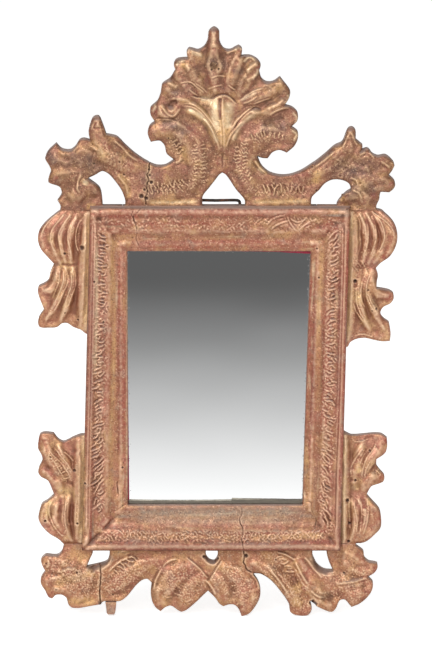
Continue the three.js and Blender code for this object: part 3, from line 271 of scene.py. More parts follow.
    def cut(self, pixels, width, drop, fade=0.15, dirt=0.0, ragged=0.0):
        """A V cut, or with a ragged path a crack, with dirt in it where it is old and open."""
        path = self.path(pixels)
        if ragged:
            path = [p + self.random.normal(0, ragged, 2) for p in path[::3]] + [path[-1]]
            path = flowing(path, 0.5)
        window, distance, _, share = self.near(path, width * 3)
        ends = self.tapered(share, fade)
        if ragged:
            gape = np.interp(share, np.linspace(0, 1, 14), self.random.uniform(0.35, 1.2, 14))
            distance = distance / np.maximum(gape, 0.2)
        self.depth[window] -= drop * np.clip(1 - distance / width, 0, 1) * ends
        if dirt:
            self.deepen("dirt", window, dirt * np.exp(-(distance / (width * 0.8)) ** 2) * ends)

    def fold(self, pixels, width, drop, fade=0.12):
        """An edge where one form lies over the next: the wood falls away on the right of the path."""
        window, distance, side, share = self.near(self.path(pixels), width * 2.6)
        ends = self.tapered(share, fade)
        fall = np.exp(-(distance / width) ** 1.6) * ends
        lap = np.exp(-(distance / (width * 0.6)) ** 2) * ends
        self.depth[window] += np.where(side < 0, -drop * fall, 0.22 * drop * lap)

    def slope(self, pixels, width, low, fade=0.1):
        """A bevel beside an opening, down to a low depth at the path itself."""
        window, distance, _, share = self.near(self.path(pixels), width)
        ends = self.tapered(share, fade)
        plane = low + (self.stroke_depth - low) * distance / width
        lowered = np.minimum(self.depth[window], plane)
        self.depth[window] += (lowered - self.depth[window]) * ends

    def pits(self, table, drop=2.0):
        """Worm holes, nail holes and knocks, each row a radius and a place."""
        for place, radius in strokes(table):
            window, distance = self.round_about(place, radius * 2.5)
            self.depth[window] -= drop * np.exp(-(distance / radius) ** 4)
            self.deepen("dirt", window, np.exp(-(distance / (radius * 1.1)) ** 4))

    def deepen(self, layer, window, mark):
        """Shows a layer at least as much as the mark says."""
        self.layers[layer][window] = np.maximum(self.layers[layer][window], mark)

    def paint(self, pixels, layer, width, amount, fade=0.15):
        """Where the leaf, the clay, the grey, the dirt or pale rubbed gesso with painted highlight shows more
        than elsewhere.
        """
        window, distance, _, share = self.near(self.path(pixels, 3.0), width * 2.2)
        self.deepen(layer, window, amount * np.exp(-(distance / width) ** 2) * self.tapered(share, fade))

    def tint(self, **layers):
        """Many painted patches, for each layer a table of width, amount and path."""
        for layer, table in layers.items():
            for path, width, amount in strokes(table):
                self.paint(path, layer, width, amount)

    def work(self, table):
        """Strokes in their order, each row the name of a stroke, its numbers and its path."""
        for path, stroke, *numbers in strokes(table):
            getattr(self, stroke)(path, *numbers)

    def zigzag(self, outer, inner, gap, width, rise, wander=0.42, broken=0.12):
        """Rocked gouge work: short broken ribs that run back and forth between two lines of pixels."""
        lines = [np.array(self.path(line)) for line in (outer, inner)]
        length = np.linalg.norm(lines[0][-1] - lines[0][0])
        count = max(2, int(length / gap))
        ends = []
        for i in range(2 * count + 1):
            line = lines[i % 2]
            share = (i / (2 * count)) * (len(line) - 1)
            at = line[min(int(share), len(line) - 1)]
            nudge = self.random.normal(0, wander * gap * 0.5, 2)
            ends.append(at + np.clip(nudge, -gap * 0.5, gap * 0.5))
        for a, b in zip(ends[:-1], ends[1:]):
            strength = rise * self.random.uniform(0.3, 1.3)
            bow = (b - a)[::-1] * np.array([1, -1]) * self.random.uniform(-0.14, 0.14)
            first, last = self.random.uniform(0, 0.5 * wander), 1 - self.random.uniform(0, 0.5 * wander)
            if self.random.random() < broken:
                strength *= 0.15
            middle = (a + b) / 2 + bow
            path = flowing([a + (b - a) * first, middle, a + (b - a) * last], 0.8)
            self.dash(path, width, width * 4, strength, 0.55)

    def chips(self, line, reach, gap, width, rise):
        """A column of short wavy dashes across a line of pixels, each left standing between two nicks."""
        line = np.array(self.path(line))
        run = np.concatenate([[0], np.cumsum(np.linalg.norm(np.diff(line, axis=0), axis=1))])
        for at in np.arange(gap / 2, run[-1], gap):
            i = min(int(np.searchsorted(run, at)), len(line) - 2)
            along = (line[i + 1] - line[i]) / np.linalg.norm(line[i + 1] - line[i])
            across = np.array([-along[1], along[0]])
            centre = line[i] + self.random.normal(0, 0.45, 2)
            wave = along * self.random.uniform(0.2, 1.3)
            half = reach * self.random.uniform(0.6, 1.15)
            path = flowing([
                centre - across * half - wave * 0.5, centre - across * half * 0.4 + wave,
                centre + across * half * 0.3 - wave * 0.5, centre + across * half + wave * 0.6], 0.7)
            self.dash(path, width, width * 4, rise * self.random.uniform(0.6, 1.2), 0.55)

    def streaks(self, layer, where, upright, across, along, least, amount):
        """Wear in long streaks, up and down or from side to side, where a mask lets it show."""
        spread = (along, across) if upright else (across, along)
        waves = blur(self.random.normal(size=self.depth.shape), spread[0] / PITCH, spread[1] / PITCH)
        waves = (waves / waves.std() - least) * amount
        self.layers[layer] = np.maximum(self.layers[layer], np.clip(waves, 0, 1) * where)

    def scratches(self, pixels, spread, count, length, width, rise):
        """Short broken strokes at odd angles round a path."""
        path = np.array(self.path(pixels))
        for _ in range(int(count)):
            at = path[self.random.integers(len(path))] + self.random.uniform(-spread, spread, 2)
            turn = self.random.uniform(0.35, 1.2) * self.random.choice([-1, 1])
            half = np.array([math.cos(turn), math.sin(turn)]) * length * self.random.uniform(0.3, 0.6)
            self.dash([at - half, at, at + half], width, width * 3, rise * self.random.uniform(0.4, 1.2))

    def stipple(self, pixels, spread, count, radius, drop):
        """Many small knocks of a punch round a path."""
        path = np.array(self.path(pixels))
        for _ in range(int(count)):
            at = path[self.random.integers(len(path))] + self.random.normal(0, spread, 2)
            window, distance, _, _ = self.near([at, at + 0.01], radius * 3)
            sign = self.random.choice([-1.0, 0.7])
            size = drop * self.random.uniform(0.5, 1.2)
            self.depth[window] += sign * size * np.exp(-(distance / radius) ** 2)

    def finish(self):
        """The hand's unevenness, then painted highlight with rubbed wear where the surface stands out, and
        painted shade where it is hollow.
        """
        for size, height in ((9.0, 0.34), (2.4, 0.09)):
            waves = blur(self.random.normal(size=self.depth.shape), size / PITCH / 2)
            self.depth += height * waves / waves.std()
        self.depth = blur(self.depth, 0.5)
        fine = self.depth - blur(self.depth, 1.1 / PITCH)
        broad = self.depth - blur(self.depth, 3.6 / PITCH)
        # Painted highlight and rubbed wear on what stands out, painted shade in what is hollow.
        self.layers["proud_wear_and_highlight"] = np.clip((fine - 0.03) / 0.22, 0, 1) * 0.85 + np.clip(broad / 1.8, 0, 1) * 0.12
        self.layers["sunk"] = np.clip(-fine / 0.25, 0, 1) * 0.45 + np.clip(-broad / 1.2, 0, 1) * 0.5

    def read(self, grid, x, z):
        """Values of a grid at points given in mm."""
        return sample(grid, (x - self.x[0]) / PITCH, (z - self.z[0]) / PITCH)


def sample(grid, columns, rows):
    """Bilinear reading of a grid at fractional columns and rows."""
    columns = np.clip(columns, 0, grid.shape[1] - 1.001)
    rows = np.clip(rows, 0, grid.shape[0] - 1.001)
    c, r = columns.astype(int), rows.astype(int)
    u, v = columns - c, rows - r
    top = grid[r, c] * (1 - u) + grid[r, c + 1] * u
    bottom = grid[r + 1, c] * (1 - u) + grid[r + 1, c + 1] * u
    return top * (1 - v) + bottom * v


def grid_inside(loops, xs, zs):
    """Which points of a grid lie within closed loops, by counting crossings along each row."""
    odd = np.zeros((len(zs), len(xs)), bool)
    for loop in loops:
        a = np.array(loop)
        b = np.roll(a, -1, axis=0)
        for (ax, az), (bx, bz) in zip(a, b):
            if az == bz:
                continue
            first, last = np.searchsorted(zs, [min(az, bz), max(az, bz)])
            for row in range(first, last):
                crossing = ax + (zs[row] - az) * (bx - ax) / (bz - az)
                odd[row, :np.searchsorted(xs, crossing)] ^= True
    return odd


def back_outline(node):
    """Loops in mm round the flat back of a CAD board, the outside first, the wood on the left of each."""
    mesh = solid_copy(node)
    mesh.normal_update()
    flat = [f for f in mesh.faces if f.normal.y > 0.99 and max(-v.co.y for v in f.verts) < 0.0004]
    chosen = set(f.index for f in flat)
    onward = {}
    for face in flat:
        for loop in face.loops:
            others = [f for f in loop.edge.link_faces if f is not face and f.index in chosen]
            if not others:
                a, b = loop.vert, loop.link_loop_next.vert
                onward[b.index] = (a.index, (b.co.x / MM, b.co.z / MM))
    mesh.free()
    loops = []
    while onward:
        start = next(iter(onward))
        loop, at = [], start
        while at in onward:
            at, place = onward.pop(at)
            loop.append(place)
        loops.append(loop)
    loops.sort(key=lambda loop: -abs(signed_area(loop)))
    return [loop if (signed_area(loop) > 0) == (i == 0) else loop[::-1] for i, loop in enumerate(loops)]


def signed_area(loop):
    """The area within a loop, above zero where it runs anticlockwise as seen from the front."""
    a = np.array(loop)
    b = np.roll(a, -1, axis=0)
    return 0.5 * float(np.sum(a[:, 0] * b[:, 1] - b[:, 0] * a[:, 1]))


def rounded_outline(loop, step, corner=40):
    """A hand-cut outline: smooth between the corners of a loop, which stay."""
    points = [np.array(p) for p in loop]
    kept = [p for i, p in enumerate(points) if np.linalg.norm(p - points[i - 1]) > 0.05]
    count = len(kept)
    turns = []
    for i in range(count):
        before, after = kept[i] - kept[i - 1], kept[(i + 1) % count] - kept[i]
        angle = math.degrees(math.atan2(before[0] * after[1] - before[1] * after[0], before @ after))
        turns.append(abs(angle) > corner)
    corners = [i for i in range(count) if turns[i]]
    if not corners:
        return flowing(kept, step, closed=True)
    result = []
    for first, last in zip(corners, corners[1:] + [corners[0] + count]):
        run = [kept[i % count] for i in range(first, last + 1)]
        result += flowing(run, step)[:-1]
    return result


def linked(name, data):
    """A new object in the scene, at the origin."""
    piece = bpy.data.objects.new(name, data)
    bpy.context.scene.collection.objects.link(piece)
    return piece


def gathered(name, verts, faces):
    """A mesh object from points in metres."""
    mesh = bpy.data.meshes.new(name)
    mesh.from_pydata(verts, [], faces)
    mesh.update()
    return linked(name, mesh)


def released(name, mesh):
    """A mesh object from a bmesh, which is then freed."""
    data = bpy.data.meshes.new(name)
    mesh.to_mesh(data)
    mesh.free()
    return linked(name, data)


def search_tree(points):
    """A tree that finds the nearest of some points of the board's plane."""
    tree = KDTree(max(1, len(points)))
    for i, p in enumerate(points):
        tree.insert((p[0], p[1], 0), i)
    tree.balance()
    return tree


# In mm: how near a neighbour a rim closes up to it, how near it stays square, the share of the gap that
# a board takes beside the frame and beside another board, and the cells of the sawn backs.
CLOSED_REACH = 0.7
JOINT_REACH = 1.2
FRAME_SHARE = 0.93
BOARD_SHARE = 0.48
BACK_CELL = 7.0


def carved_shell(name, carving, loops, neighbours, edge_radius, back_depth, back_wave, wall_rows=5, corner=40,
                 fixed=0):
    """A closed board: its carved front, its knife-cut edges and its hewn back, from loops in mm."""
    outline = [rounded_outline(loop, PITCH * 1.15, corner) for loop in loops]
    low, high = [c * 1000 for c in cad_box[0]], [c * 1000 for c in cad_box[1]]
    outline = [[(min(max(p[0], low[0]), high[0]), min(max(p[1], low[2]), high[2])) for p in loop]
               for loop in outline]
    # Glue and gesso fill the joints, so neighbours close up to a hair.
    nearby = search_tree(neighbours)
    for loop in outline:
        for i, p in enumerate(loop):
            place, index, away = nearby.find((p[0], p[1], 0))
            if away < CLOSED_REACH:
                share = FRAME_SHARE if index < fixed else BOARD_SHARE
                loop[i] = (p[0] + (place.x - p[0]) * share, p[1] + (place.y - p[1]) * share)
    rim = [p for loop in outline for p in loop]
    free = [p for p in rim if nearby.find((p[0], p[1], 0))[2] > JOINT_REACH]
    open_rim, any_rim = search_tree(free), search_tree(rim)

    def front(x, z):
        """How far in mm the carved and rounded face stands out at a place."""
        depth = float(carving.read(carving.depth, np.array([x]), np.array([z]))[0])
        away = open_rim.find((x, z, 0))[2]
        if away < edge_radius:
            depth -= edge_radius - math.sqrt(max(edge_radius ** 2 - (edge_radius - away) ** 2, 0))
        return depth

    xs = np.arange(min(p[0] for p in rim) + PITCH * 0.37, max(p[0] for p in rim), PITCH)
    zs = np.arange(min(p[1] for p in rim) + PITCH * 0.37, max(p[1] for p in rim), PITCH)
    within = grid_inside(outline, xs, zs)
    points = [(xs[c], zs[r]) for r, c in zip(*np.nonzero(within))
              if any_rim.find((xs[c], zs[r], 0))[2] > PITCH * 0.6]
    edges = []
    base = 0
    for loop in outline:
        edges += [(base + i, base + (i + 1) % len(loop)) for i in range(len(loop))]
        base += len(loop)
    corners, order, triangles = filled(rim, edges, points)
    verts = [(p.x * MM, -front(p.x, p.y) * MM, p.y * MM) for p in corners]
    faces = [tuple(t) for t in triangles]
    rim_depth = [-verts[order[i]][1] / MM for i in range(len(rim))]

    # Edges of the board, row by row down to the back, with the facets that the knife left.
    waves = carving.random.normal(size=(wall_rows, len(rim)))
    waves = blur(waves, 3.0)
    waves = waves / max(waves.std(), 1e-6)
    base = 0
    back_rings = []
    for loop in outline:
        count = len(loop)
        ring = [order[base + i] for i in range(count)]
        array = np.array(loop)
        tangent = np.roll(array, -1, axis=0) - np.roll(array, 1, axis=0)
        inward = np.stack([-tangent[:, 1], tangent[:, 0]], axis=1)
        inward /= np.maximum(np.linalg.norm(inward, axis=1), 1e-9)[:, None]
        for row in range(1, wall_rows + 1):
            share = row / wall_rows
            fresh = []
            for i in range(count):
                x, z = loop[i]
                calm = 0.0 if nearby.find((x, z, 0))[2] < JOINT_REACH else 1.0
                push = calm * (0.16 + 0.1 * waves[row - 1, base + i]) * math.sin(math.pi * share)
                start = rim_depth[base + i]
                depth = start + (back_depth - start) * share
                fresh.append(len(verts))
                verts.append(((x + inward[i][0] * push) * MM, -depth * MM, (z + inward[i][1] * push) * MM))
            for i in range(count):
                j = (i + 1) % count
                faces.append((ring[j], ring[i], fresh[i], fresh[j]))
            ring = fresh
        back_rings.append(ring)
        base += count

    # Back of the board, left as the saw and the axe made it.
    bx = np.arange(xs[0] + BACK_CELL / 2, xs[-1], BACK_CELL)
    bz = np.arange(zs[0] + BACK_CELL / 2, zs[-1], BACK_CELL)
    within = grid_inside(outline, bx, bz)
    inner = [(bx[c], bz[r]) for r, c in zip(*np.nonzero(within))
             if any_rim.find((bx[c], bz[r], 0))[2] > BACK_CELL * 0.35]
    ring = [v for ring in back_rings for v in ring]
    corners, names, triangles = filled([(verts[v][0] / MM, verts[v][2] / MM) for v in ring], edges, inner)
    place = {names[i]: v for i, v in enumerate(ring)}
    for i, corner_point in enumerate(corners):
        if i not in place:
            place[i] = len(verts)
            hollow = back_wave * carving.random.random()
            verts.append((corner_point.x * MM, -(back_depth + hollow) * MM, corner_point.y * MM))
    faces += [(place[t[0]], place[t[2]], place[t[1]]) for t in triangles]
    verts = np.clip(np.array(verts), [c / 1000 for c in low], [c / 1000 for c in high])
    return gathered(name, verts.tolist(), faces)


def filled(outline, edges, others):
    """Triangles over the wood within an outline: all corners, the names of those given, and the faces."""
    points = [Vector(p) for p in outline] + [Vector(p) for p in others]
    corners, lines, triangles, origin, kept, _ = delaunay_2d_cdt(points, edges, [], 0, 1e-5)
    border = {tuple(sorted(line)) for line, sources in zip(lines, kept) if sources}
    names = {source: i for i, sources in enumerate(origin) for source in sources}
    beside = {}
    for i, t in enumerate(triangles):
        for a, b in zip(t, t[1:] + t[:1]):
            beside.setdefault((a, b) if a < b else (b, a), []).append(i)
    inner = set(range(len(corners))) - {names[i] for i in range(len(outline))}
    start = next(i for i, t in enumerate(triangles) if any(v in inner for v in t))
    state = {start: True}
    queue = [start]
    while queue:
        at = queue.pop()
        t = triangles[at]
        for a, b in zip(t, t[1:] + t[:1]):
            edge = (a, b) if a < b else (b, a)
            for other in beside[edge]:
                if other not in state:
                    state[other] = state[at] != (edge in border)
                    queue.append(other)
    return corners, names, [t for i, t in enumerate(triangles) if state[i]]


def settled(piece):
    """The mesh that a piece's modifiers make."""
    return bpy.data.meshes.new_from_object(piece.evaluated_get(bpy.context.evaluated_depsgraph_get()))


def boolean(piece, other, operation):
    """Joins or cuts two closed meshes, and drops the second."""
    modifier = piece.modifiers.new("cut", "BOOLEAN")
    modifier.operation = operation
    modifier.solver = "MANIFOLD"
    modifier.object = other
    old, piece.data = piece.data, settled(piece)
    piece.modifiers.clear()
    piece.data.name = piece.name
    bpy.data.meshes.remove(old)
    bpy.data.objects.remove(other)


def block(name, low, high):
    """A plain box used only as a cutter, corners in mm."""
    verts = [(x * MM, y * MM, z * MM) for x in (low[0], high[0]) for y in (low[1], high[1])
             for z in (low[2], high[2])]
    faces = [(0, 1, 3, 2), (4, 6, 7, 5), (0, 4, 5, 1), (2, 3, 7, 6), (0, 2, 6, 4), (1, 5, 7, 3)]
    return gathered(name, verts, faces)


def put(piece, material, body, slot, *nodes, angle=40):
    """Gives a finished mesh its material and its place in the model."""
    piece.data.shade_smooth()
    piece.data.set_sharp_from_angle(angle=math.radians(angle))
    piece.data.materials.clear()
    piece.data.materials.append(material)
    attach(piece, body)
    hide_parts(*nodes)


def dress(piece, carving, material, body, slot, *nodes):
    """Carries the carving's worn and painted layers to a finished mesh, and puts the piece in place."""
    mesh = piece.data
    co, normal = np.zeros(len(mesh.vertices) * 3), np.zeros(len(mesh.vertices) * 3)
    mesh.vertices.foreach_get("co", co)
    mesh.vertices.foreach_get("normal", normal)
    co = co.reshape(-1, 3) / MM
    depth = -co[:, 1]
    under = carving.read(carving.depth, co[:, 0], co[:, 2]) - depth
    flank = np.clip((under - 2.0) / 2.4, 0, 1)
    values = {name: carving.read(grid, co[:, 0], co[:, 2]) * (1 - flank)
              for name, grid in carving.layers.items()}
    values["flank"] = flank
    values["bare"] = np.clip((2.2 - depth) / 1.6, 0, 1)
    # Faces that look up turn paler: dust, and painted light from above.
    values["dust_and_top_light"] = np.clip((normal[2::3] - 0.5) / 0.35, 0, 1)
    values["lying"] = np.full(len(co), float(np.ptp(co[:, 0]) > 3 * np.ptp(co[:, 2])))
    for name, value in values.items():
        layer = mesh.attributes.new(name, "FLOAT", "POINT")
        layer.data.foreach_set("value", np.ascontiguousarray(value, np.float32))
    put(piece, material, body, slot, *nodes, angle=58)


def linear(colour):
    """An sRGB hex value as Blender's linear colour."""
    channels = [int(colour[i:i + 2], 16) / 255 for i in (1, 3, 5)]
    return [c / 12.92 if c <= 0.04045 else ((c + 0.055) / 1.055) ** 2.4 for c in channels] + [1.0]


def add(tree, kind, inputs=(), output=0, **settings):
    """Adds one node with its settings, links or fills its inputs, and gives the output asked for.
    A kind of shader node is named without its beginning."""
    node = tree.nodes.new(kind if "Node" in kind else "ShaderNode" + kind)
    for name, value in settings.items():
        setattr(node, name, value)
    for name, value in dict(inputs).items():
        socket = node.inputs[name]
        if isinstance(value, bpy.types.NodeSocket):
            tree.links.new(value, socket)
        else:
            socket.default_value = value
    return node.outputs[output] if len(node.outputs) else None


def new_material(name):
    """An empty material, with its tree and the place on the object that its patterns follow."""
    material = bpy.data.materials.new(name)
    material.use_nodes = True
    tree = material.node_tree
    tree.nodes.clear()
    return material, tree, add(tree, "TexCoord", output="Object")


# A mix of colours takes them at its inputs 6 and 7 and gives the output with this number.
COLOURS = {"output": 2, "data_type": "RGBA"}


# Each coat: its tone, the worn layer that shows it, how a pattern breaks that layer, and where the
# pattern alone shows it. A pattern is given as its name, the two values it runs between and the results.
GILDING_COATS = (
    ("rose_gold", None, None, ("broad", 0.42, 0.6, 0, 0.95)),
    ("olive_gold", None, None, ("drift", 0.5, 0.66, 0, 0.6)),
    ("leaf", "gold", ("mottle", 0.32, 0.58, 0.4, 1.1), ("patch", 0.5, 0.68, 0, 0.45)),
    ("clay", "red", ("mottle", 0.3, 0.6, 0.55, 1.1), ("mottle", 0.54, 0.66, 0, 0.35)),
    ("bruise", "grey", ("mottle", 0.35, 0.6, 0.6, 1.05), ("patch", 0.44, 0.32, 0, 0.4)),
    ("shadow_brown", None, None, ("speck", 0.42, 0.33, 0, 0.8)),
    ("rubbed_edge_and_highlight", None, None, ("speck", 0.59, 0.68, 0, 0.65)),
    # Painted shade in the hollows, in shadow brown.
    ("shadow_brown", "sunk", ("speck", 0.25, 0.65, 0.65, 1.1), None),
    # Painted highlight, with rubbed wear, on raised edges.
    ("rubbed_edge_and_highlight", "proud_wear_and_highlight", ("speck", 0.3, 0.68, 1.3, 0.5), None),
    # Pale rubbed gesso and painted highlight, in cream.
    ("cream", "pale", ("mottle", 0.28, 0.6, 1.15, 0.45), None),
    ("flank", "flank", ("patch", 0.3, 0.7, 1.0, 0.75), None),
    # Dust and painted light from above on faces that look up.
    ("dust_and_top_light", "dust_and_top_light", ("mottle", 0.3, 0.62, 1.0, 0.55), None),
    ("dirt", "dirt", ("speck", 0.3, 0.6, 1.1, 0.7), None),
    ("old_wood", "bare", ("patch", 0.3, 0.6, 1.0, 0.85), None),
    ("old_wood", "rear", ("patch", 0.3, 0.6, 1.0, 0.7), None),
    ("dark_grain", "rear", ("grain", 0.4, 0.68, 0.0, 0.75), None),
    ("pale_fibre", "rear", ("fibre", 0.46, 0.66, 0.0, 0.6), None),
)


def water_gilding(name, tones):
    """Water gilding: gold leaf on red clay over chalk gesso, rubbed by two centuries of dusting.
    It shows warm broken gold, red clay where the leaf has gone, pale rubbed edges with painted highlight,
    painted shade in hollows and brown dirt in cuts."""
    material, tree, place = new_material(name)
    # Wear drifts over a hand's breadth, breaks up within a fingertip and ends in specks of about a mm.
    patterns = {}
    for word, size, detail, roughness in (
            ("broad", 34, 3, 0.55), ("drift", 21, 4, 0.6), ("patch", 11, 4, 0.6), ("mottle", 4.0, 4, 0.65),
            ("speck", 1.45, 2, 0.6)):
        patterns[word] = add(tree, "TexNoise", {
            "Vector": place, "Scale": 1 / (size * MM), "Detail": detail, "Roughness": roughness})
    # The backs are bare sawn wood: fibres drawn about a mm apart, bands of the grain and marks of the saw.
    upright = add(tree, "Mapping", {"Vector": place, "Scale": (1.0, 1.0, 0.05)})
    level = add(tree, "Mapping", {"Vector": place, "Scale": (0.05, 1.0, 1.0)})
    lying = add(tree, "Attribute", output="Fac", attribute_name="lying")
    long_way = add(tree, "Mix", {"Factor": lying, 4: upright, 5: level}, output=1, data_type="VECTOR")
    patterns["fibre"] = add(tree, "TexNoise", {"Vector": long_way, "Scale": 1 / (1.3 * MM), "Detail": 3.0})
    patterns["grain"] = add(tree, "TexNoise", {"Vector": long_way, "Scale": 1 / (7 * MM), "Detail": 4.0})
    layers = {word: add(tree, "Attribute", output="Fac", attribute_name=word)
              for word in ("gold", "red", "grey", "pale", "dirt", "proud_wear_and_highlight", "sunk", "flank", "bare", "dust_and_top_light")}
    facing = add(tree, "SeparateXYZ", {"Vector": add(tree, "TexCoord", output="Normal")}, output="Y")
    layers["rear"] = add(tree, "MapRange", {"Value": facing, "From Min": 0.5, "From Max": 0.8})
    colour = linear(tones["brown_gold"])
    amounts = {}
    for tone, layer, broken, shown in GILDING_COATS:
        spread = []
        for pattern in (broken, shown):
            if pattern is None:
                spread.append(0.0)
                continue
            word, low, high, least, most = pattern
            spread.append(add(tree, "MapRange", {
                "Value": patterns[word], "From Min": low, "From Max": high, "To Min": least, "To Max": most}))
        amount = add(tree, "Math", {0: layers[layer] if layer else 0.0, 1: spread[0], 2: spread[1]},
                     operation="MULTIPLY_ADD", use_clamp=True)
        amounts[layer or tone] = amount
        colour = add(tree, "Mix", {"Factor": amount, 6: colour, 7: linear(tones[tone])}, **COLOURS)
    worn = add(tree, "Math", {0: amounts["flank"], 1: amounts["dirt"]}, operation="ADD", use_clamp=True)
    worn = add(tree, "Math", {0: worn, 1: amounts["bare"]}, operation="ADD", use_clamp=True)
    leafless = add(tree, "Math", {0: worn, 1: amounts["red"]}, operation="MAXIMUM")
    shine = add(tree, "MapRange", {"Value": leafless, "To Min": 0.55, "To Max": 0.05})
    rough = add(tree, "MapRange", {
        "Value": patterns["mottle"], "From Min": 0.3, "From Max": 0.7, "To Min": 0.36, "To Max": 0.54})
    rough = add(tree, "Math", {0: worn, 1: 0.3, 2: rough}, operation="MULTIPLY_ADD", use_clamp=True)
    relief = add(tree, "Math", {0: patterns["mottle"], 1: 1.4, 2: patterns["speck"]},
                 operation="MULTIPLY_ADD")
    bump = add(tree, "Bump", {"Strength": 0.6, "Distance": 0.0004, "Height": relief})
    surface = add(tree, "BsdfPrincipled", {
        "Base Color": colour, "Metallic": shine, "Roughness": rough, "Normal": bump})
    add(tree, "OutputMaterial", {"Surface": surface})
    return material


RAIL_TONES = {
    "brown_gold": "#a26b51", "rose_gold": "#b27560", "olive_gold": "#b0875e", "leaf": "#d4a672",
    "clay": "#984a36", "bruise": "#9d8775", "shadow_brown": "#65402f", "rubbed_edge_and_highlight": "#e8bd9e",
    "cream": "#f6dcb4", "flank": "#95705f", "dust_and_top_light": "#c3aba1", "dirt": "#38261d", "old_wood": "#8a6a4c",
    "dark_grain": "#5d4531", "pale_fibre": "#a98a66",
}
rail_gilding = water_gilding("water_gilding_rails", RAIL_TONES)

RAILS = ("top_rail", "bottom_rail", "left_stile", "right_stile")
OUTER_CORNERS = [(-125.05, -1.9), (133.95, -1.9), (125.05, -348.9), (-133.95, -348.9)]
SIGHT_CORNERS = [(-88.05, -46.9), (94.75, -46.9), (87.05, -302.9), (-87.75, -302.9)]
# In mm in front of the rails' backs: where each carved slab ends, and where the plain half that it
# overlaps begins. The gap is the open line of each mitre.
SLAB_BACK = 14.35
LAP_CUT = 14.7
MITRE_GAP = 0.012

rails = Carving(RAILS, 24, 1.7, 11)
# The outer bead is worn flat along the top, and less along the sides.
rails.work("""
    swell 3.4 -0.9 0.02 90,206 150,206.5 216,205.5 280,206 345,205.5;
    swell 3.2 -1.3 0.02 96,211.5 150,211.5 216,211 280,211.5 342,211.5;
    swell 3.0 -0.8 0.02 124,244 180,243.5 250,243.5 312,244;
    swell 3.0 -1.2 0.02 92,215 90,300 88,400 86,540;
    swell 3.0 -1.2 0.02 346,215 345,300 341,400 338,540;
    cut 1.3 0.9 0.02 93.8,222 93.2,260 92.4,300 90.4,400 88.5,480 88,530;
    cut 1.3 0.9 0.02 344.2,222 343.6,260 342.6,300 339.4,400 336,480 335,530;
    swell 3.2 -1.1 0.02 86,547 150,548 216,548 280,548 338,547;
    swell 3.2 -0.7 0.02 119,250 118.5,330 118,420 117.5,500;
    swell 3.2 -0.5 0.02 316,250 313,330 310,420 307,500""")
for line, count in strokes("""
        240 101,234 101,300 98.5,400 97,470 99,512; 220 333.5,232 332,300 329,400 326,470 324,515"""):
    rails.scratches(line, 7, count, 3.6, 0.6, 0.6)
rails.work("""
    scratches 5.5 430 3.8 0.68 0.62 108,536 160,537 216,537 270,537 326,536;
    scratches 8 300 4.6 0.7 0.3 104,222 150,223 216,222 262,223 322,222""")
rails.zigzag("96,232 95,300 92,400 90,470 92,520", "108,236 107,300 105,400 104,470 106,506", 3.7, 0.8, 1.5,
             wander=0.95, broken=0.25)
rails.zigzag("340,226 338,300 335,400 333,470 331,528", "327,236 326,300 323,400 319,470 318,512", 3.9, 0.8,
             1.4, wander=0.95, broken=0.25)
for corner in """
        98,214 100,222 97,230; 330,214 332,222 334,232; 95,524 100,532 108,540;
        322,538 328,530 332,520""".split(";"):
    rails.stipple(corner, 3.5, 46, 0.7, 0.5)
# A leaf-like figure left of the upper right corner, and a smaller one beside it.
for leaf in """
        266,226 272,219 280,216 287,215; 270,231 275,226 283,222 291,220;
        287,216 291,224 297,232; 297,232 303,226 311,221 318,219;
        291,218 297,222 303,220 309,216; 296,231 300,224 306,218""".split(";"):
    rails.rib(leaf, 0.8, 0.9)
for vein in range(9):
    column = 284 + vein * 3.2
    rails.rib([(column, 216 + vein % 3), (column + 3, 221 + vein % 2)], 0.6, 0.5)
rails.work("""
    swell 3.0 -1.2 266,233 276,229 285,229 292,233;
    swell 4.0 -1.4 300,236 310,229 320,226 324,232;
    swell 5.0 -1.3 104,228 112,226 120,229 122,236""")
# The leaf and the clay have worn in streaks along each moulding, for cloths were drawn along it. The
# mouldings are told by their reach, the distance in mm out from the sight edge.
x, z = np.meshgrid(rails.x, rails.z)
low_x, high_x = -88 - (z + 47) * 0.001, 94.7 + (z + 47) * 0.03
beside = np.maximum(low_x - x, x - high_x)
beyond = np.maximum(z + 46.9, -302.9 - z)
upright = blur((beside > beyond).astype(float), 2.0)
reach = np.maximum(beside, beyond)
hollow = np.exp(-((reach - 12) / 6) ** 2)
frieze = np.exp(-((reach - 25) / 6) ** 2)
bead = np.exp(-((reach - 37) / 3.4) ** 2)
lip = np.exp(-((reach - 3) / 3.2) ** 2)
for side, standing in ((upright, True), (1 - upright, False)):
    for layer, where, across, along, least, amount in (
            ("gold", np.clip(hollow + 0.3 * lip, 0, 1), 1.3, 26, -0.4 * standing, 0.6),
            ("red", np.clip(frieze * 0.9 + lip + 0.3 * hollow, 0, 1), 1.2, 22, -0.2, 0.8),
            ("grey", np.clip(bead + 0.3 * frieze + 0.3 * hollow, 0, 1), 1.0, 18, 0.2, 0.6),
            ("red", bead, 1.2, 12, -0.8, 0.6),
            # Pale streaks: rubbed gesso and painted highlight.
            ("pale", 0.5 * lip + 0.35 * hollow + 0.25 * frieze, 0.7, 7, 0.9, 0.8),
            ("dirt", 0.5 * lip + 0.5 * bead + 0.35 * frieze, 0.7, 6, 1.2, 0.5)):
        rails.streaks(layer, side * where, standing, across, along, least, amount)
rails.streaks("grey", (1 - upright) * hollow * (z < -150), False, 1.6, 40, -0.6, 0.5)
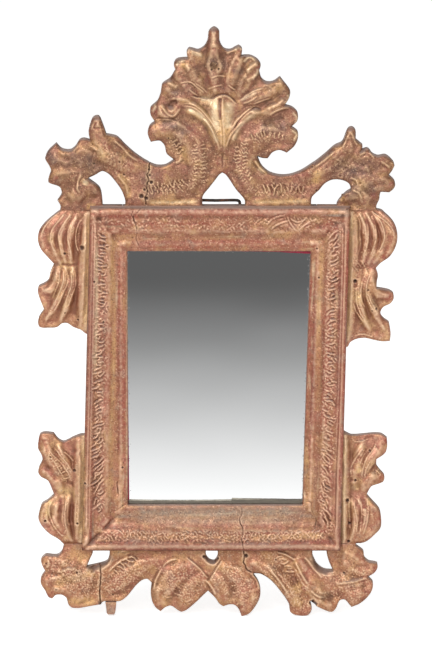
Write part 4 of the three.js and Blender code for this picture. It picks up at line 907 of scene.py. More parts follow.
# Cracks, the mitres and the holes of old nails and worm.
for crack, width, drop in strokes("""
        0.6 1.4 143,205 138,211 133.5,217 135.5,224 137,232 136.5,240 140,249;
        0.5 0.9 134,209 132,214 134,220 138,224;
        0.48 1.5 240,504 242,512 240,521 243,530 241.5,540 245,552;
        0.4 0.6 126,504 118,510 112,512.5; 0.7 2.0 117.3,482 117.8,495;
        0.45 0.8 303,501 311,503 311.5,511 315.5,518.5 316,530 323,534.5"""):
    rails.cut(crack, width, drop, dirt=0.7, ragged=0.25)
rails.pits("""
    0.9 94.3,281.5; 0.8 103.5,322; 0.8 319,278; 0.8 122.5,468; 0.9 85,483; 0.7 317,249; 0.5 95,486;
    0.6 347,209""", 2.2)
rails.tint(gold="""
    3.2 0.9 113,240 112,290 110,330; 3.6 0.9 320,236 322,262 319,300 317,330;
    2.6 1.0 136,222 136,230; 4 0.7 122,240 132,243; 4.5 0.65 262,231 280,236 296,232 306,222;
    6 0.5 120,508 150,514 230,516 300,514; 4 0.8 112,440 111,470 108,500;
    5 0.6 305,440 308,480 312,505; 4 0.4 115,535 170,539 230,536; 6 0.7 250,536 300,538 325,532;
    2.6 0.75 115,262 114,330 113,400 112,430; 2.0 0.9 85,434 83.6,480 82.6,540;
    3.2 0.9 114,300 113.4,360 111.5,430 110,480""", red="""
    4.5 0.9 124,320 123,390 122,450; 3.5 0.6 110,330 108,390 106,430; 4 0.7 90,320 88,380 86,430;
    4 0.85 330,300 327,350 324,420; 3 0.9 343,230 341,330 338,450; 3 0.6 308,300 307,380 305,450;
    4 0.8 163,210 190,212 215,209; 6 0.5 225,222 240,220; 5 0.4 150,229 165,227;
    3 0.4 115,250 117,270; 2.2 0.5 345,250 343,350 340,450; 2.6 1.0 90,545 180,546 240,545 336,546;
    3.4 0.45 326,240 324,330 321,420; 2.6 0.9 91.5,216 90.5,260 89,340 86.5,480;
    2.6 1.0 347,216 346,330 341,430 338,520; 3.2 1.0 94,211.5 160,211.5 230,211 290,211.5 342,211.5;
    3.0 0.75 124,243 170,242.5 240,242.5 310,243; 2.8 0.9 88,548 160,549 250,549 336,548;
    3.4 0.85 119.5,246 119.5,330 119,400; 2.8 0.35 119,400 118,495;
    3.4 0.85 311,262 309.6,330 308,390; 3.6 0.8 325,300 325,350 323,400; 3.0 0.9 343,250 342,290;
    3.4 0.9 92,300 91,350 90,400; 3.0 0.5 104,330 103.6,390; 4.0 0.5 320,330 319,390;
    2.2 1.0 93,246 92.6,330 90.6,430; 3.0 0.9 121,300 120,400 119,470;
    2.0 0.9 315,290 312,400 309,470; 2.6 1.0 341,250 339.6,330 338,420;
    2.4 0.9 324,310 323,400 321,440; 2.4 0.5 110,300 108.6,400 107,440""", grey="""
    2.6 1.0 92,203.5 150,204 216,203 280,203.5 344,203; 2 0.5 112,207 180,208 260,207 330,208;
    6 0.45 150,512 216,510 280,512; 2.2 0.5 88,230 87,330 84,430; 6.5 0.95 120,513 216,513 316,512;
    5.0 0.6 120,520 216,521 316,520""", pale="""
    1.7 0.6 96.6,236 96.6,300 94.6,380; 0.9 0.5 127.4,262 127,380 127,492;
    0.9 0.4 309.5,262 305,380 301.5,490""")
# Dark streaks along the beads, hollows and sight edges: dirt, and painted shade on the mouldings.
for grime in """
        92,206 150,207 205,205; 235,205 300,206 345,206; 86,240 85,300 83,340;
        344,480 343,520 340,545; 83,440 82,520; 93,250 92,330 90,420; 120,300 119,400 118,470;
        340.6,250 339,330 337,420; 323.6,320 322,400; 316,260 313,380 310,440; 105,310 103,400;
        92,545 170,546 250,546 334,545; 126,531 200,532 300,531""".split(";"):
    rails.paint(grime, "dirt", 2.2, 0.3)
rails.finish()
# Less painted highlight on the bead and the sight lip, less painted shade in the hollow.
rails.layers["proud_wear_and_highlight"] *= 1 - 0.6 * np.clip(bead, 0, 1) - 0.35 * lip
rails.layers["sunk"] *= 1 - 0.7 * hollow

for nearer, rail in enumerate(("top_rail", "right_stile", "bottom_rail", "left_stile")):
    further = (nearer + 1) % 4
    loop = [SIGHT_CORNERS[nearer], SIGHT_CORNERS[further], OUTER_CORNERS[further], OUTER_CORNERS[nearer]]
    # Each mitred end stands back from its neighbour by half the gap that the glue fills.
    inwards = np.array(loop[1]) - np.array(loop[0])
    back_off = MITRE_GAP * inwards / np.linalg.norm(inwards)
    shrunk = [tuple(np.array(p) + side * back_off) for p, side in zip(loop, (1, -1, -1, 1))]
    loop = shrunk if signed_area(shrunk) > 0 else shrunk[::-1]
    mitres = []
    for corner in (nearer, further):
        sight, outer = np.array(SIGHT_CORNERS[corner]), np.array(OUTER_CORNERS[corner])
        mitres += [tuple(sight + (outer - sight) * i / 60) for i in range(61)]
    slab = carved_shell(rail + "_front", rails, [loop], mitres, 1.7, SLAB_BACK, 0.0, wall_rows=6, corner=25)
    rear = released(rail + "_back", solid_copy(rail))
    boolean(rear, block("front_off", (-400, -80, -500), (400, -LAP_CUT, 300)), "DIFFERENCE")
    boolean(slab, rear, "UNION")
    slab.name = rail + "_gilt"
    dress(slab, rails, rail_gilding, "frame", "gilt_rail", rail)

# Crest
# A shell between two wings of leaves, carved from three boards of the same soft wood, dowelled and
# glued edge to edge and on to the top rail. Gesso, clay and gold went over the joints.

FRAME_STEPS = 500
frame_edge = []
for start, end in zip(OUTER_CORNERS, OUTER_CORNERS[1:] + OUTER_CORNERS[:1]):
    run = np.array(end) - start
    frame_edge += [tuple(np.array(start) + run * s / FRAME_STEPS) for s in range(FRAME_STEPS)]
CREST_BOARDS = ("crest_left_wing", "crest_centre", "crest_right_wing")
EAR_BOARDS = ("upper_left_ear", "upper_right_ear", "lower_left_ear", "lower_right_ear")
APRON_BOARDS = ("apron_left_leaf", "apron_centre", "apron_right")
BOARDS = CREST_BOARDS + EAR_BOARDS + APRON_BOARDS
loops = {node: back_outline(node) for node in BOARDS}
rims = {node: [tuple(p) for loop in loops[node] for p in rounded_outline(loop, 0.5)] for node in BOARDS}


def drum(name, centre, radius, back, front, sides=48, waver=0.0):
    """A round closed block along the depth, in mm, slightly out of round if it wavers."""
    turns = [2 * math.pi * i / sides for i in range(sides)]
    reach = [radius - waver * (0.5 + 0.3 * math.sin(3 * t + 1) + 0.2 * math.sin(7 * t)) for t in turns]
    verts = [((centre[0] + r * math.cos(t)) * MM, -depth * MM, (centre[1] + r * math.sin(t)) * MM)
             for depth in (back, front) for t, r in zip(turns, reach)]
    faces = [tuple(range(sides)), tuple(range(2 * sides - 1, sides - 1, -1))]
    faces += [(i, i + sides, (i + 1) % sides + sides, (i + 1) % sides) for i in range(sides)]
    return gathered(name, verts, faces)


def carve_boards(carving, nodes, material, slot, edge_radius, back_wave=0.5, holes=()):
    """Makes one closed piece for each CAD board of a group, all cut from the same carving."""
    for node in nodes:
        touching = frame_edge + [p for other in BOARDS if other != node for p in rims[other]]
        shell = carved_shell(node + "_gilt", carving, loops[node], touching, edge_radius, 0.05, back_wave,
                             fixed=len(frame_edge))
        for board, centre, radius, floor_depth in holes:
            if board == node:
                boolean(shell, drum("drill", centre, radius, floor_depth, 60), "DIFFERENCE")
        dress(shell, carving, material, "frame", slot, node)


crest_gilding = water_gilding("water_gilding_crest", dict(
    RAIL_TONES, brown_gold="#93654c", rose_gold="#a46f5a", olive_gold="#987450", leaf="#d8aa72",
    bruise="#745a52", clay="#904a3a", shadow_brown="#553626", rubbed_edge_and_highlight="#e6bf98", flank="#685248"))
crest = Carving(CREST_BOARDS, 15.5, 1.6, 23)
PLUG_RADIUS = 4.2
low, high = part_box("crest_plug")
plug_centre = ((low[0] + high[0]) / 2 / MM, (low[2] + high[2]) / 2 / MM)
plug_back, plug_front = -high[1] / MM, -low[1] / MM

# The shell's flutes and lips, from the finial outwards.
for path, width, rise in strokes("""
        3.4 1.2 214,30 213.6,40 214,49; 1.8 1.4 190,50 196,52.5 203,55;
        1.8 1.4 238,48.5 231,51.5 225,54; 2.8 1.3 178.5,62.5 186,66.5 191,70;
        2.6 1.2 259,63 252,66 245,72; 2.2 1.0 257.5,74 251,78 246,82; 2.6 0.9 166,82 172,84 178,88;
        3.4 1.0 280,80 283,88 281,96; 2.6 0.9 285,99 278,104 270,107;
        3.2 1.4 222,98 222,112 223,130 223,150"""):
    crest.swell(path, width, rise)
for path, width, drop in strokes("""
        2.4 1.5 203,47 205,60 205,72; 2.4 1.5 225,48 224,60 224,72; 2.4 1.5 191,58 196,70 201,80;
        2.4 1.5 238,57 233,68 229,80; 2.6 1.4 178,73 186,80 193,88; 2.6 1.5 256,72 248,80 240,90;
        2.4 1.4 168,90 180,92 192,97; 2.8 1.5 277,84 266,90 252,98; 2.4 1.2 287,104 276,103 262,104"""):
    crest.swell(path, width * 1.2, -0.5 * drop)
for path in """
        178.8,84 184,82.3 190.4,82.3 198,88 206,94; 188.4,88.9 194.3,93.7 203,99.5 208,100.5;
        194.3,83 202,88 207.8,93.7; 207.8,90 213.6,87 223.3,85;
        210.7,78.2 217.5,75.8 225.3,76.7; 239.8,102.4 246.6,95.6 254.3,90.8 264,87.9;
        241.7,104.4 251.4,100.5 258.2,95.6; 228,85 232,88 236,91; 252,105 262,101 272,98""".split(";"):
    crest.rib(path, 0.7, 0.75)
# The hanging leaf between the scrolls, and the scrolls' rolled edges.
crest.work("""
    fold 2.2 1.6 238,105.5 230,97.6 224.3,95.2 218.5,96.1 211.7,99.5 202,98.5 190,96;
    cut 2.5 1.8 0.1 220.4,97.5 219.8,109 220.6,121;
    cut 1.1 0.9 220.6,117 222.4,132 222.6,150""")
for path in """
        219.5,150 216,138 209.5,126 200,116; 225.5,150 229.5,138 236,128.5 244,120""".split(";"):
    crest.rib(path, 0.9, 0.9)
crest.work("""
    cut 1.1 1.7 180.5,105 190,105.5 199,109.5 207,118.5 214,130 219,146;
    cut 1.1 1.7 233,131 237,123.5 243.5,116 250,110.5 256,107.8 262,110.5;
    swell 2.0 1.1 164.2,98 178.8,99.5 187,100.5 194.5,104.5 202.5,111.5 210,120.5 216,130;
    swell 2.5 1.9 182.6,109 194.3,113.5 205.5,122.5 212.5,132 218,147;
    swell 2.4 1.8 230,147 234.5,135.5 240,126.5 247,118.5 255,113.5 263,114.5;
    rib 1.1 1.5 161.3,104.4 165.2,111.1 169,114.8 173,116.2 177.2,112.5 181.7,106.3;
    rib 1.1 1.4 269.8,115 275.7,111.1 283.4,108.4 291,107.8;
    cut 1.0 1.2 155,119 165.2,118.2 179,121;
    swell 2.4 -1.6 170,108 172,103 178,102;
    swell 4.0 -1.6 262,125 275,121 286,118;
    swell 4.0 -0.9 170,130 185,133 196,150;
    cut 1.0 0.7 222.4,153 222.4,170""")
# Chip-cut borders that follow the scrolls down to the rail.
for line in """
        196,143 196,156 196,170 194,182; 204,143 204,156 203.8,170 202,184;
        237.5,145 237,157 238.5,172 246,183; 245,142 244.5,155 245,168 251,179""".split(";"):
    crest.chips(line, 3.1, 3.9, 0.62, 0.75)
for line in """
        189,184 178,189 164,192 150,194; 186,180 174,184 162,187 150,189""".split(";"):
    crest.chips(line, 2.6, 4.2, 0.62, 0.8)
crest.work("""
    chips 3.6 4.4 0.7 1.0 250,137 262,133.5 274,134.5 286,139;
    chips 4.4 4.2 0.7 1.1 173,139 177,146 181,154""")
crest.zigzag("262,185 275,184 290,184 305,185", "263,195 275,195 290,196 304,195", 5.0, 0.85, 1.2)
crest.zigzag("147,184 160,181 175,178", "147,196 162,194 176,190", 5.2, 0.8, 0.7)
# Rims of the shell's lobes, edged with pale rubbed gesso and painted highlight.
for path in """
        157.5,82 161,76 165.5,73.5; 176,66.5 180,61.5 186,60.5; 187,54 189.5,49.5 194,51;
        234,50.5 239,47.5 242,51; 243,63 250,57 257,61.5; 258,68 257,74 252,79;
        268,82 276,78 283,82; 288,94 288.5,100 284,104; 292,112 297,118 295,126;
        291,130 297,135 293,142; 152,101 155,107 152,113; 150,116 153,121""".split(";"):
    crest.rib(path, 1.0, 0.5)
    crest.paint(path, "pale", 1.3, 0.6)
crest.paint("220.3,97 219.8,108 220.4,120", "red", 1.9, 1.0)
for line, spread, count in strokes("""
        8 90 200,145 200,182; 7 80 241,145 241,182; 6 90 250,190 300,190; 6 90 150,190 190,186;
        5 40 172,140 182,150; 5 60 255,138 282,138"""):
    crest.scratches(line, spread, count, 3.4, 0.5, 0.45)
crest.level("214.4,65.6", 4.8, plug_front + 0.2)
# Rims of the openings and of the wings.
for path in """
        175,163.5 179,161.5 182,158; 254.3,159.4 259.2,167.2 267,174;
        113.8,168.1 119.4,177.3 125.7,185.7 128,197; 82.2,173.8 78.7,179.4 77.3,188.5 81,194;
        352.5,189.8 359.1,193.4 362,199.3; 348.1,192 341,197.8 340.4,203;
        350.3,178 355.4,180.2 358.6,186; 313.6,168 326.1,158.5 336.4,149.5;
        112,139.5 121.5,147 129.2,155.4 140,162.5; 369.4,152 374.5,158;
        380.4,161 386,165 391,168; 359,155.3 366,151.6; 91,131 93,124 95.5,119.5;
        103,123 105.5,130 107.5,137; 89.9,145.7 97.6,151; 78.7,145 73,151.5;
        342,149 346,140 348,133; 352,132 354,139 358,147""".split(";"):
    crest.rib(path, 1.25, 1.15)
for path, width, drop in strokes("""
        4.0 1.8 52,164 66,168 80,164; 2.6 1.3 56,152 62,158 70,160; 3.2 1.4 55,186 64,183 74,184;
        4.5 1.8 88,156 96,164 108,172; 3.2 1.0 66,196 72,202 84,204; 4.5 1.0 120,158 132,168 142,172;
        3.6 1.7 368,172 378,168 388,166; 3.0 1.3 366,188 376,186 388,182;
        3.4 1.3 352,158 358,164 366,168; 4.0 1.3 330,170 342,164 350,150;
        2.6 1.0 372,198 368,192 360,188; 2.6 0.8 84,190 92,194 98,200"""):
    crest.swell(path, width, -0.75 * drop)
crest.work("""
    swell 2.8 1.6 84,186 86,181 90,179;
    swell 2.6 1.5 97,119 97.5,128;
    swell 2.6 1.3 350,130 350,140;
    stipple 5.5 190 0.85 0.5 100,148 112,160 124,172 134,182;
    stipple 4.5 70 0.9 0.5 330,162 338,166 342,174;
    stipple 4 50 0.8 0.5 268,190 285,190 304,188;
    stipple 2.5 30 0.7 0.4 352,182 366,184""")
# The left joint has opened; the right one only shows as a change in the carving.
crest.cut("149.6,163 149.2,170 147.4,176 148.6,181 146,186 147.6,192 145.2,198 146.4,206", 0.7, 2.2, 0.02,
          dirt=0.95, ragged=0.3)
crest.pits("""
    0.9 149,169.7; 0.8 149.6,175.5; 1.5 151.4,182.5; 1.0 144.4,190; 1.9 141.4,196.4; 1.5 146.3,198.5;
    0.8 211.6,69.6; 0.8 218.6,69; 0.9 316.5,191; 0.8 94,164; 0.7 119.5,162; 0.8 124.2,175;
    0.7 312,167; 0.6 168.4,138.6; 1.2 258.3,157.5""")
crest.tint(gold="""
    8 1.0 222,100 222,120 223,148; 3 0.8 176,100 192,103 205,112 214,126;
    2.6 1.0 184,109 197,115 208,126 216,142; 2.6 1.0 146,202.5 170,202.5 200,201.5;
    2.6 1.0 248,202 280,202 312,201; 2.2 1.0 255,160 261,169 268,175; 4 0.9 315,170 318,176 314,184;
    5 0.6 90,140 98,148 106,158; 3.5 1.0 83,184 86,180; 3.2 0.8 118,172 126,186 130,200;
    5 0.8 352,180 360,184 364,192; 3 1.0 343,196 341,202; 6 0.55 180,146 186,156 184,166;
    3 1.0 86,206 96,207; 4.5 0.55 262,92 274,88 284,90; 3.5 0.6 246,66 256,64; 3.0 0.6 180,64 188,68;
    2.4 0.5 160,105 168,113""", grey="""
    6 0.8 160,122 176,126 186,138; 11 0.6 334,160 350,172 372,164; 7 0.6 344,196 360,190 376,184;
    8 0.55 66,158 84,162 100,176; 6 0.6 258,126 274,128 288,124; 5 0.9 47,150 51,158 56,165;
    4.6 0.75 205,58 214,61 222,64 220,70; 4 0.7 232,72 244,70; 4 0.4 194,66 200,76;
    4 0.45 170,92 186,92; 4 0.4 262,78 272,92; 5 0.4 56,160 70,164 82,160;
    6 0.55 146,168 150,186 148,204; 5 0.5 160,124 184,128; 5 0.5 264,122 284,118;
    5 0.35 300,150 320,148; 5 0.4 366,160 380,170""", red="""
    5 0.5 180,122 190,130 196,138; 4.5 1.0 214,31 214,37; 3.2 1.0 214,33 213.6,40;
    3 0.5 213,44 214,56; 2.4 1.0 96.5,119 97,126; 4 0.7 222,78 228,84 226,92;
    4.5 0.55 204,78 212,84 218,90; 2.4 0.8 186,49 190,52; 2.4 0.7 240,48 240,53;
    3 0.8 153,107 156,114; 4 1.0 388,184 391,187; 3 0.7 384,166 388,172; 3 0.8 374,192 372,200;
    3 1.0 54,176 57,180; 3.4 0.6 104,142 110,150; 5 0.4 124,158 134,172;
    5 0.5 216,158 222,168 228,176; 2 0.8 349,130 350,133; 2.2 0.8 258,66 258,72;
    4 0.6 285,172 300,176 312,172; 4 0.5 232,148 238,160 242,172; 3.4 0.6 338,150 344,158""", pale="""
    3.0 0.8 207,101 214,103 218,112; 3.2 1.0 214,101 214.5,116 218,132;
    4.2 0.9 229,101 228,114 226,130; 2.2 0.8 200,99 208,100 214,102; 1.4 0.6 240,102 248,96 258,92;
    2.2 0.9 184,108 196,113 207,122 214,134 217.5,145;
    1.8 0.6 233,142 236,133 242,124 250,117 258,113.6; 1.3 0.7 146,202.8 176,202.6 200,201.8;
    1.3 0.5 250,202.4 280,202.4 312,201.4; 1.6 0.8 191,52 196,54 203,56; 2.6 0.8 84,184 87,180.5;
    1.6 0.6 258.5,168 264,173; 2.4 0.35 98,149 106,156""", dirt="""
    4 0.2 90,156 96,162; 3.0 0.25 146,160 146,205""")
crest.finish()
# Over the crest the painted shade in hollows and the painted highlight on raised parts are weakened, the most
# on the wings.
x, z = np.meshgrid(crest.x, crest.z)
wings = np.clip((np.abs(x) - 55) / 20, 0, 1)
crest.layers["sunk"] *= 0.85 - 0.3 * wings
crest.layers["proud_wear_and_highlight"] *= 0.95 - 0.25 * wings
carve_boards(crest, CREST_BOARDS, crest_gilding, "gilt_carving", 3.2,
             holes=[("crest_centre", plug_centre, PLUG_RADIUS + 0.02, plug_back - 0.3)])

# Crest plug
# A whittled plug that fills the hole of an old hanging nail in the shell. It was driven in with glue
# and toned over, and stands a hair below the carving round it.

rings = [(plug_back, 0.0), (plug_back, 0.97), (plug_back + 0.5, 1.0)]
rings += [(plug_back + 0.5 + (plug_front - plug_back - 1.1) * i / 6, 1.0) for i in range(1, 7)]
rings += [(plug_front - under, share) for under, share in (
    (0.35, 0.985), (0.12, 0.94), (0.03, 0.84), (0, 0.66), (0, 0.4), (0.02, 0.2), (0.05, 0.0))]
PLUG_SIDES = 40
verts, faces = [], []
for depth, share in rings:
    for i in range(PLUG_SIDES if share else 1):
        turn = 2 * math.pi * i / PLUG_SIDES
        out_of_round = 0.05 * (1 + math.sin(3 * turn + 1)) + 0.02 * (1 + math.sin(11 * turn))
        reach = (PLUG_RADIUS - out_of_round) * share
        x, z = plug_centre[0] + reach * math.cos(turn), plug_centre[1] + reach * math.sin(turn)
        sunk = 0.22 * (1 + math.sin(1.3 * x + 2.1 * z)) * (1.2 - share) if depth > plug_front - 0.4 else 0.0
        verts.append((x * MM, -(depth - sunk) * MM, z * MM))
for k in range(1, len(rings) - 2):
    a = 1 + (k - 1) * PLUG_SIDES
    faces += [(a + i, a + PLUG_SIDES + i, a + PLUG_SIDES + (i + 1) % PLUG_SIDES, a + (i + 1) % PLUG_SIDES)
              for i in range(PLUG_SIDES)]
tip = 1 + (len(rings) - 3) * PLUG_SIDES
faces += [(0, 1 + i, 1 + (i + 1) % PLUG_SIDES) for i in range(PLUG_SIDES)]
faces += [(tip + PLUG_SIDES, tip + (i + 1) % PLUG_SIDES, tip + i) for i in range(PLUG_SIDES)]
crest.paint("209,65 214,64 219,65", "grey", 4, 0.9)
dress(gathered("crest_plug_toned", verts, faces), crest, crest_gilding, "frame", "gilt_carving", "crest_plug")

# Ears
# Four side boards of gadroons over leaf tips, glued and dowelled to the stiles. A burnished fillet
# runs down each beside the stile.

ear_gilding = water_gilding("water_gilding_ears", dict(
    RAIL_TONES, brown_gold="#b57e5f", rose_gold="#c68973", olive_gold="#c69a6c", leaf="#ebc48a",
    shadow_brown="#784a34", rubbed_edge_and_highlight="#e8c29e", flank="#7d6455"))
EARS = {
    "upper_left_ear": {
        "ribs": """
            66,212 58,221.8 51.5,230.7 50.5,240 53,248 57,255;
            71.4,213.6 63,224.5 58.5,234 59.5,245 62.5,256;
            76.5,214.4 69.5,226 67.6,238 70.5,250 73,262; 86,214 79,223.6 76,235 76.8,248 81,256;
            59.8,268 59,281 55.3,291.4 50.5,302; 66.5,268 68.2,280 63.4,293.2 58,304.8 52,314;
            75,268 75.9,284.3 71.4,297.7 67.5,310; 54,266 50.5,274 49.5,280;
            63,268 63.5,280 59.5,292 54,304; 62,210.5 51,219 43.5,229 41,236;
            70,268 71.8,282 67.5,296 63,308""".split(";"),
        "hollows": """
            2.0 1.1 63,219 56,229 54.6,238 57,250; 1.9 1.1 70,219 64,230 62.8,240 66,254;
            1.9 1.1 77.5,218 72.5,230 71.8,242 75,258; 2.0 1.2 84,222 80.5,234 80.5,250;
            2.6 0.8 47,226 45,240 49,250; 3.2 1.2 80.5,280 77,296 74,312 72,322;
            3.4 1.1 48,292 50,302 56,314; 2.6 0.8 46,320 54,322 62,318; 1.6 0.9 60,264 68,265 78,265""",
        "gold": """
            3.8 1.0 88.8,209 88,250 86.6,300 85.6,334; 5 0.7 58,262 70,270 72,280;
            3.4 0.5 50,232 52,244; 4 0.5 55,300 60,290""",
        "red": """
            2.6 0.8 68,226 66,240 71,256; 3 0.5 80,262 78,266; 4 0.6 44,312 50,318;
            4 0.5 52,306 60,312; 2 0.8 71,234 70,250""",
        "pits": """
            2.1 82.1,247.6; 1.1 64.7,253.5; 0.6 65,313; 0.8 78,320"""},
    "upper_right_ear": {
        "ribs": """
            376,213.5 382,224.6 384.5,235 381.5,246.4 374.5,257;
            369.8,213 375.3,224.6 376.3,236.5 373.3,248 368.5,258;
            363.2,213 367.5,224.6 368.4,236.5 366.3,248.4 362,256;
            356.5,213.5 359.6,223 359.9,234.5 360.3,246.4 357.5,257; 352.3,264 359.3,273;
            355.8,259.5 361.8,268.5; 361.3,261 366,269.5;
            366.2,272 361.8,283.9 361.6,298.8 367,311;
            356.3,285 356.3,301.7 360.3,313.6 365.5,321.5; 352.4,301 357.2,313.6 363.2,322.5;
            368.2,294 372.1,303.7 376.3,309.5; 372,270 367,283 366.5,296 372,310;
            371,211 385,221 392,228.5 395,236; 353.5,337 362.2,334.5 375,338""".split(";"),
        "hollows": """
            2.0 1.1 370,218 379,230 380,240 375,252; 1.9 1.1 364,217 371.5,229 372,240 368,254;
            1.9 1.1 359.5,217 364,230 364,242 361,254; 3.0 0.9 390,232 390,244 383,254;
            2.0 1.6 355.3,279 355.5,288; 4.2 0.5 377,297 385,298; 3.6 1.3 358,326 368,330 380,332;
            3.4 0.9 376,314 384,326; 1.6 0.8 356,265 364,267""",
        "gold": """
            2.6 1.0 351.4,208 350.4,250 349,300 347.8,344; 2.2 0.6 358,222 359.5,246;
            5 0.5 360,318 368,326 376,334; 3.2 0.7 357,290 358,306""",
        "red": """
            5 0.9 388,252 382,260; 4 1.0 384,300 391,296; 2.4 0.7 366,222 370,240 368,252;
            3 0.6 364,276 366,290; 3 0.6 374,262 372,270""",
        "pits": """
            1.5 355,281; 0.8 368.3,290; 1.0 376.5,308.7; 0.7 372,311; 0.8 388,262"""},
    "lower_left_ear": {
        "ribs": """
            47.6,457 52.8,459.6 58,468 65,479.5; 50.5,452.5 57.1,458.8 64,467 71,478;
            54,448 61,456 67,463 73,472; 47.6,457 50.5,452.5; 52.8,462.5 57.5,459.5;
            56.5,468 61.5,465; 60.5,474 66,471; 64.5,479.5 70.5,477; 63,451 69,456 74,463;
            54.5,498.1 49.5,506.8 50.2,518 57.1,530.6 66,539; 66,496 65.5,508 65,520 68,534;
            76.5,498 75,512 74.5,528""".split(";"),
        "hollows": """
            4.0 1.2 44,438 46,448 50,452; 3.6 1.3 44,468 50,472 56,482;
            2.4 1.9 61.4,496 59.8,506.8 58.8,515; 2.6 1.9 72.6,503 71,515.4 70.2,525;
            4.0 1.4 62,440 70,446 76,454; 2.4 0.6 44,510 44,520 50,530; 2.6 1.2 66,482 74,483;
            3.0 0.8 56,528 62,536""",
        "gold": """
            3.4 1.0 84,430 83,470 82,505 81,546; 4 0.8 52,500 48,510 50,520;
            5 0.8 58,488 66,492 76,494; 5 0.5 50,442 58,450""",
        "red": """
            2.2 1.0 61,497 59.5,512; 2.8 0.8 72,503 70.5,522; 4 0.9 42,468 48,472 52,478;
            4.5 0.7 56,530 64,538; 3 0.7 38,436 39,446; 3 0.3 40,452 44,458""",
        "pits": """
            1.3 74.5,470.3; 1.1 45.2,521; 1.1 77.5,523.5; 0.6 50.5,457; 1.4 86.5,546"""},
    "lower_right_ear": {
        "ribs": """
            351,438 355.3,442 362.2,441.4 370,439; 364,447.4 357.1,456 351.6,466 351,478.4;
            377.8,440.5 372.6,450 366.6,457.8 363.1,468.1 361.4,478;
            371.5,460 366.5,468.5 364.5,479; 369,449 363,457 359.5,466;
            355.3,496 354.6,507.8 357.1,519.8 356.4,535; 366.5,499 368.5,511 366.5,524 362,538;
            361,504 361.5,518 359.5,534; 349,498 349.5,515 350,534; 375,470 380,474""".split(";"),
        "hollows": """
            2.8 1.0 356,437 366,437 376,436; 3.0 1.5 353,472 356,462 361,455;
            3.6 1.1 372,466 378,470; 3.6 1.0 376,448 384,442; 2.0 1.8 346.8,498 347,504;
            2.8 1.6 363.5,498 364,510; 3.4 1.0 374,508 376,520 370,532; 2.2 1.2 348,523 352,524;
            1.6 1.4 349.5,480 357,481""",
        "gold": """
            2.6 1.0 344.8,432 343.8,470 342.6,546; 3.4 0.8 357,462 359,474; 3.6 0.8 348,486 360,488;
            3 0.8 350,500 350,520; 2.4 0.8 368,498 369,506; 3 0.4 373,462 376,472""",
        "red": """
            2.8 1.0 363,496 365,510; 3 1.0 384,440 387,444; 4 0.9 380,476 384,478;
            4 0.8 380,516 378,528; 2.4 0.8 366,472 366,482; 4 0.4 358,500 364,530""",
        "pits": """
            1.0 355.5,480.5; 1.5 347.4,500.3; 1.1 349.6,523.3; 1.3 348.6,541.5; 0.9 370,451"""},
}
for seed, (ear, marks) in enumerate(EARS.items()):
    carving = Carving((ear,), 12.0, 1.3, 40 + seed)
    for path in marks["ribs"]:
        carving.rib(path, 0.62, 0.8)
    for path, width, drop in strokes(marks["hollows"]):
        carving.swell(path, width, -0.65 * drop)
        carving.paint(path, "red", width, 0.5)
    fillet, width, _ = next(strokes(marks["gold"]))
    carving.swell(fillet, 1.3 * width, 2.2, 0.04)
    carving.paint(fillet, "pale", 2.0, 0.45, 0.04)
    carving.tint(gold=marks["gold"], red=marks["red"])
    carving.pits(marks["pits"])
    for path in marks["ribs"]:
        carving.scratches(path, 3.5, 15, 2.4, 0.5, 0.45)
    carving.finish()
    carve_boards(carving, (ear,), ear_gilding, "gilt_ear", 2.6)

# Apron and foot
# Three boards of hanging leaves under the bottom rail, pierced beside it, with a small square peg
# that stands the left side level. The walls of the piercings were pared back to a wide bevel.

apron_gilding = water_gilding("water_gilding_apron", dict(
    RAIL_TONES, brown_gold="#ab7453", rose_gold="#b77861", olive_gold="#be956c", leaf="#dfb076",
    clay="#9b4f39", bruise="#a8917f", shadow_brown="#734c36", rubbed_edge_and_highlight="#ecc6a2", flank="#9c8a76"))
apron = Carving(APRON_BOARDS, 13.5, 1.5, 61)
for path, width, rise in strokes("""
        2.0 1.0 48,560 53,556 58,558; 2.4 1.0 46,578 59.7,576.8 70.1,569 79.4,571;
        3.5 0.7 60,560 68,570 70,584; 2.6 1.2 186,556 198,566 208,577;
        2.2 1.1 268,566 277,577.5 285.5,589.3 290,600; 2.6 1.0 330,584 353.4,581.5 369,578;
        2.4 0.8 252,574 257,582 258,592"""):
    apron.swell(path, width, rise)
for path, width, drop in strokes("""
        4.0 1.4 46,586 60,584 76,580; 3.2 1.1 52,568 62,566 74,562; 4.2 1.2 80,596 90,590 96,580;
        3.0 0.8 70,604 84,602 94,598; 4.0 1.0 110,596 122,592 132,582;
        3.6 1.2 164,604 172,596 180,588; 3.6 1.0 190,600 198,590 204,580;
        3.2 0.8 158,580 162,590 160,600; 3.6 1.2 246,602 250,590 248,580;
        3.4 1.0 228,600 232,590 236,580; 2.6 0.7 238,610 241,604; 4.6 2.0 320,600 332,598 344,594;
        3.8 1.2 346,590 358,588 368,586; 3.4 1.1 352,566 362,566 372,566;
        3.6 1.3 278,566 290,574 298,588; 3.4 1.0 304,570 312,582 318,590;
        3.4 0.8 256,562 266,570 276,584; 3.6 0.9 294,606 304,608"""):
    apron.swell(path, width, -drop)
for path in """
        161.8,568.7 156.2,579.1 153.2,590.7; 107,573 120,562 136,555;
        294.4,561 301.5,574 309.7,587.5; 303.8,556.2 313.3,567.5 323,579.5;
        335.7,584 353.4,581.4 368.7,578; 46,569 49,563.5 47,560; 270,570 279,580 288,593;
        120,552 130,549.5 140,548; 250,572 257,580 259.5,590; 205,579 212,588 216,596;
        163,566 170,561 178,559; 56,572 62,571 70,567; 310,590 318,596 326,598;
        276,552 286,555 296,561""".split(";"):
    apron.rib(path, 1.1, 1.1)
